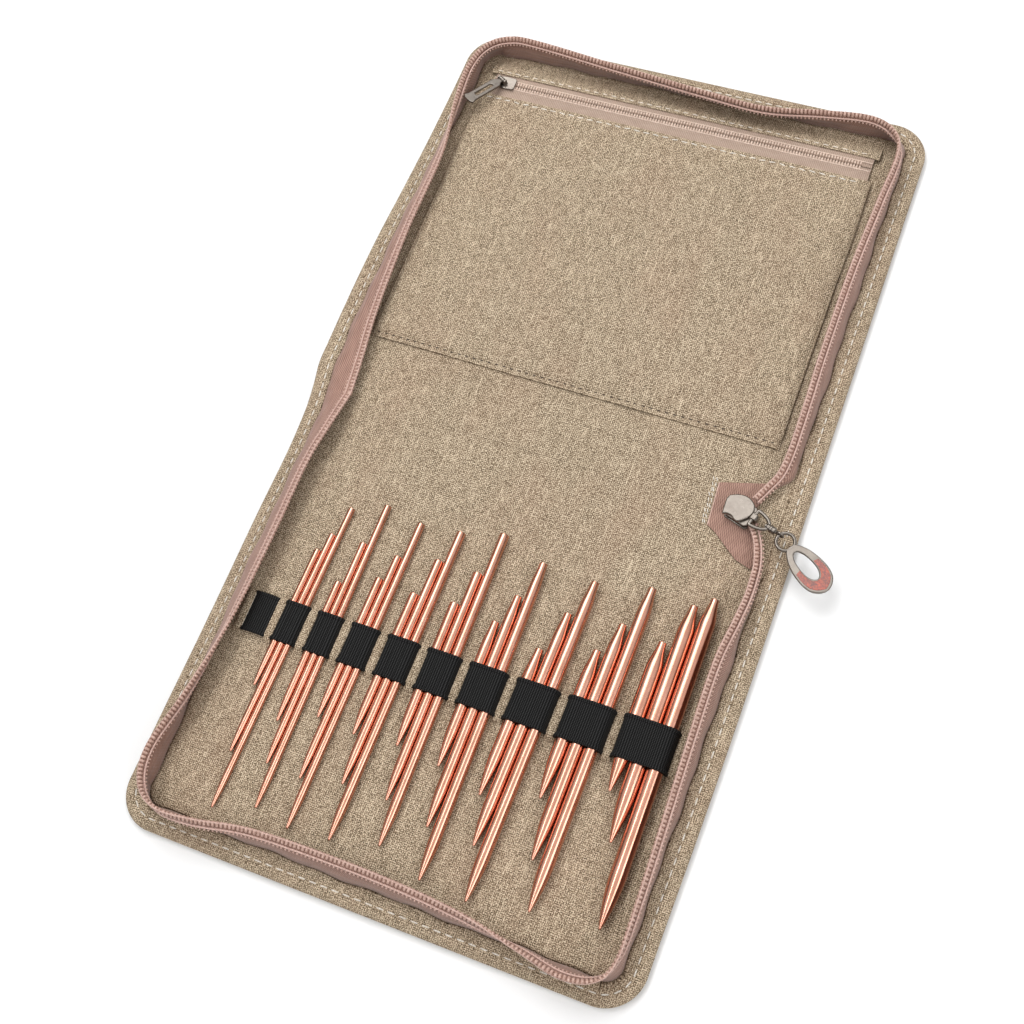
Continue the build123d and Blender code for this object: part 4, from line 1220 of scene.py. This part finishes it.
def end_tab():
    """The folded tape ends under the slider, wrinkled, with a bar tack beside them."""
    low = low_high("zip_end_tab")[0]
    left, right = low[0], low[0] + 23
    corners = [(left, 10), (left + 17.5, 15), (left + 20.5, 14.5), (left + 17, 5), (left + 16.5, -3),
               (left + 20, -10), (right, -16), (right - 0.5, -21), (left + 16, -19), (left + 9.5, -14),
               (left + 5, -10.5), (left + 1.2, -8.5)]
    ring = []
    for a, b in zip(corners, corners[1:] + corners[:1]):
        for t in np.linspace(0, 1, 8, endpoint=False):
            ring.append((a[0] + (b[0] - a[0]) * t, a[1] + (b[1] - a[1]) * t))
    ring = np.array(ring)
    centre = ring.mean(axis=0)
    shares = np.linspace(1, 0.0, 14)
    flat = centre + (ring - centre)[None] * shares[:, None, None]
    x, y = flat[..., 0], flat[..., 1]
    z = TOP + 0.5 - 0.35 * (1 - smooth(1 - shares, 0, 0.08))[:, None]
    wrinkle = 0.22 * np.sin((x * 0.8 + y * 1.5) * 0.9) * smooth(-y, 4, 12) + 0.1 * np.sin(x * 0.9 - y * 0.5)
    z = z + wrinkle * smooth(1 - shares, 0.05, 0.4)[:, None]
    points = np.stack([x, y, z], -1)
    cloth = np.stack([x * 0.35 + y * 0.94, x * 0.94 - y * 0.35, 0 * x], -1)
    shape = Shape()
    shape.grid(points, cloth, around=True)
    obj = shape.make("tape_end_tab", TAPE, slot="zip_tape", merge=0.02, thickness=0.35, offset=-1.0)
    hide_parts("zip_end_tab")
    fold_with(obj, -1)
    edge = Shape()
    a, b = np.array(corners[0]), np.array(corners[-1])
    line = [(*(a + (b - a) * t), TOP + 0.45) for t in np.linspace(0, 1, 24)]
    edge.tube(line, 0.3, 6)
    edge.make("tape_end_fold", COIL, "spine", "zip_tape")
    tack = Shape()
    chance = random.Random(12)
    for row in (-1.4, -2.5):
        for t in np.linspace(0.0, 1.0, 9):
            spot = a + (b - a) * t
            centre3 = np.array([[spot[0] + row + chance.uniform(-0.3, 0.3), spot[1] + 1.2, TOP + 0.08]])
            slant = unit(np.array([[chance.uniform(0.2, 0.7), -1.0, 0.0]]))
            up = np.array([[0.0, 0.0, 1.0]])
            tack.beads(centre3, slant, np.cross(up, slant), up, (2.0, 0.42, 0.4), (8, 6), 0.8)
    tack.make("end_tab_tack", PALE_THREAD, "spine", "case_fabric")


# ---- needle tips ----------------------------------------------------------------------------------
def tip_profile(radius, length):
    """(distance from the point, radius): blunt point, ogive, shaft, narrowed rear, blind bore."""
    point = 8.0 + 1.8 * 2 * radius
    nose = [(0.0, 0.02), (0.04, 0.2), (0.16, 0.36), (0.34, 0.47), (0.5, 0.5)]
    ogive = []
    for t in np.linspace(0, 1, 26)[1:]:
        ogive.append((0.5 + (point - 0.5) * t, 0.5 + (radius - 0.5) * (1 - (1 - t) ** 1.75)))
    shaft = [(point + 6, radius), (length / 2, radius)]
    if radius >= 2.0:
        bore = 1.0
        neck = [(length - 11 + 10 * t, 1.6 + (radius - 1.6) * (1 - smooth(t, 0.0, 1.08))) for t in
                np.linspace(0, 1, 14)]
        rear = neck + [(length - 0.25, 1.62), (length - 0.06, 1.54), (length, 1.35)]
    else:
        bore = 0.7
        rear = [(length - 3, radius), (length - 0.3, radius), (length - 0.08, radius - 0.08),
                (length, radius - 0.25)]
    inside = [(length, bore + 0.12), (length - 0.15, bore)]
    threads = []
    for k in range(10):
        threads += [(length - 0.6 - 0.72 * k, bore - 0.02), (length - 0.96 - 0.72 * k, bore + 0.1)]
    bottom = [(length - 8.0, bore - 0.05), (length - 8.0, 0.02)]
    return nose + ogive + shaft + rear + inside + threads + bottom


def needle_tips():
    """All the tips, each turned about its own axis."""
    for size in SIZES:
        for length_name in LENGTHS:
            node = f"tip_{size}_{length_name}"
            low, high = low_high(node)
            radius, point, axis = tip_line(size, length_name)
            ahead_dir = unit(axis) * np.sign(-axis[1])
            reach = (point[1] - low[1]) / -ahead_dir[1]
            nose = point + ahead_dir * reach
            length = (high[1] - low[1]) * abs(1 / ahead_dir[1])
            base = heading_frame((nose[0], nose[1], (low[2] + high[2]) / 2), -ahead_dir)
            obj = turned(tip_profile(radius, length), "needle_" + node, ROSE, node, "rose_metal", base, 40)
            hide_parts(node)


def stiffeners():
    """Board and foam inside each cover and the spine, a little short of the fabric's rim."""
    for kind, inset, material, slot in (("board", BOARD_INSET, BOARD, "stiffener_board"),
                                        ("padding", FOAM_INSET, FOAM, "foam")):
        rim = OUTLINE - NORMAL * inset
        rim = rim[rim[:, 1] > CREASE + 0.9]
        rim = np.concatenate([rim, np.zeros((len(rim), 1))], axis=1)
        for part, body, side in (("lower", "lower_cover", -1), ("spine", "spine", 0), ("upper",
                                                                                       "upper_cover", 1)):
            low, high = low_high(f"{part}_{kind}")
            x = HALF_W - inset
            outline = [(-x, low[1]), (x, low[1]), (x, high[1]), (-x, high[1])]
            if side:
                outline = sided(rim, side)[::-side, :2]
            middle = Matrix.Translation((0, 0, (low[2] + high[2]) / 2 * MM))
            obj = plate(f"{part}_{kind}_sheet", [outline], high[2] - low[2], 0.2, material, body,
                        middle)
            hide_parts(f"{part}_{kind}")


# ---- stage, light and camera ----------------------------------------------------------------------
def studio():
    """Pale floor, soft light from all round, long soft boxes for the streaks on the tips."""
    floor_mesh = bpy.data.meshes.new("floor")
    reach = 4.0
    floor_mesh.from_pydata([(-reach, -reach, -0.0004), (reach, -reach, -0.0004), (reach, reach, -0.0004),
                            (-reach, reach, -0.0004)], [], [(0, 1, 2, 3)])
    floor = bpy.data.objects.new("floor", floor_mesh)
    bpy.context.scene.collection.objects.link(floor)
    paint = Shader("floor_paint")
    paint.colour((0.86, 0.86, 0.86, 1))
    paint.rough(0.9)
    floor_mesh.materials.append(paint.material)
    world = bpy.data.worlds.new("studio")
    world.use_nodes = True
    tree = world.node_tree
    ground = tree.nodes["Background"]
    direction = tree.nodes.new("ShaderNodeTexCoord")
    parts = tree.nodes.new("ShaderNodeSeparateXYZ")
    tree.links.new(direction.outputs["Generated"], parts.inputs[0])
    ramp = tree.nodes.new("ShaderNodeValToRGB")
    tree.links.new(parts.outputs["Z"], ramp.inputs[0])
    ramp.color_ramp.elements[0].position = 0.0
    ramp.color_ramp.elements[0].color = (0.08, 0.08, 0.08, 1)
    ramp.color_ramp.elements[1].position = 1.0
    ramp.color_ramp.elements[1].color = (1, 1, 1, 1)
    for place, level in ((0.25, 0.16), (0.5, 0.62), (0.75, 0.9)):
        step = ramp.color_ramp.elements.new(place)
        step.color = (level, level, level, 1)
    tree.links.new(ramp.outputs[0], ground.inputs["Color"])
    ground.inputs["Strength"].default_value = 0.92
    bpy.context.scene.world = world
    lamp("key", (-0.42, 0.0, 1.15), (0, 0, 0), 0.15, 1.6, 5.0)
    lamp("soft", (-0.3, 0.6, 0.95), (0, 0, 0), 0.9, 0.9, 6.0)
    lamp("fill", (0.9, -0.3, 0.8), (0, 0, 0), 0.5, 0.9, 4.0)


def lamp(name, spot, aim, width, length, power):
    """A rectangular soft box facing a point, its long side along the case."""
    data = bpy.data.lights.new(name, "AREA")
    data.shape = "RECTANGLE"
    data.size, data.size_y = width, length
    data.energy = power
    obj = bpy.data.objects.new(name, data)
    bpy.context.scene.collection.objects.link(obj)
    back = (Vector(spot) - Vector(aim)).normalized()
    right = Vector((0, 1, 0)).cross(back).normalized()
    up = back.cross(right)
    obj.matrix_world = Matrix.Translation(spot) @ Matrix((right, up, back)).transposed().to_4x4()


def camera():
    """The view from above and in front, a little to the right, turned so the case lies aslant."""
    data = bpy.data.cameras.new("view")
    data.lens, data.sensor_width = 53.23, 36.0
    data.clip_start, data.clip_end = 0.01, 20.0
    obj = bpy.data.objects.new("view", data)
    bpy.context.scene.collection.objects.link(obj)
    right = Vector((0.9228, 0.3595, -0.1386)).normalized()
    back = Vector((0.2592, -0.3130, 0.9137)).normalized()
    up = back.cross(right).normalized()
    right = up.cross(back)
    spot = Vector((153.26, -216.84, 557.4)) * MM
    obj.matrix_world = Matrix.Translation(spot) @ Matrix((right, up, back)).transposed().to_4x4()
    bpy.context.scene.camera = obj


# ---- build ------------------------------------------------------------------------------------------
case_shell(-1, "case_fabric_needle_half", ["lower_shell", "spine_shell"])
case_shell(1, "case_fabric_pocket_half", ["upper_shell"])
lining(-1, "lining_needle_half", ["lower_lining", "spine_lining"])
lining(1, "lining_pocket_half", ["upper_lining"])
border_stitches(-1, "border_stitches_needle_half")
border_stitches(1, "border_stitches_pocket_half")
main_zip(-1, "zip_needle_half", ["lower_zip_tape", "spine_zip_tape"], ["lower_zip_coil", "spine_zip_coil"])
main_zip(1, "zip_pocket_half", ["upper_zip_tape"], ["upper_zip_coil"])
elastic_band()
strips()
pocket_panel()
pocket_facing()
pocket_zip()
slider_cap()
slider_body()
stirrup()
swivel()
teardrop()
pocket_fittings()
end_tab()
needle_tips()
stiffeners()
studio()
camera()
bpy.context.scene.view_settings.view_transform = "Standard"
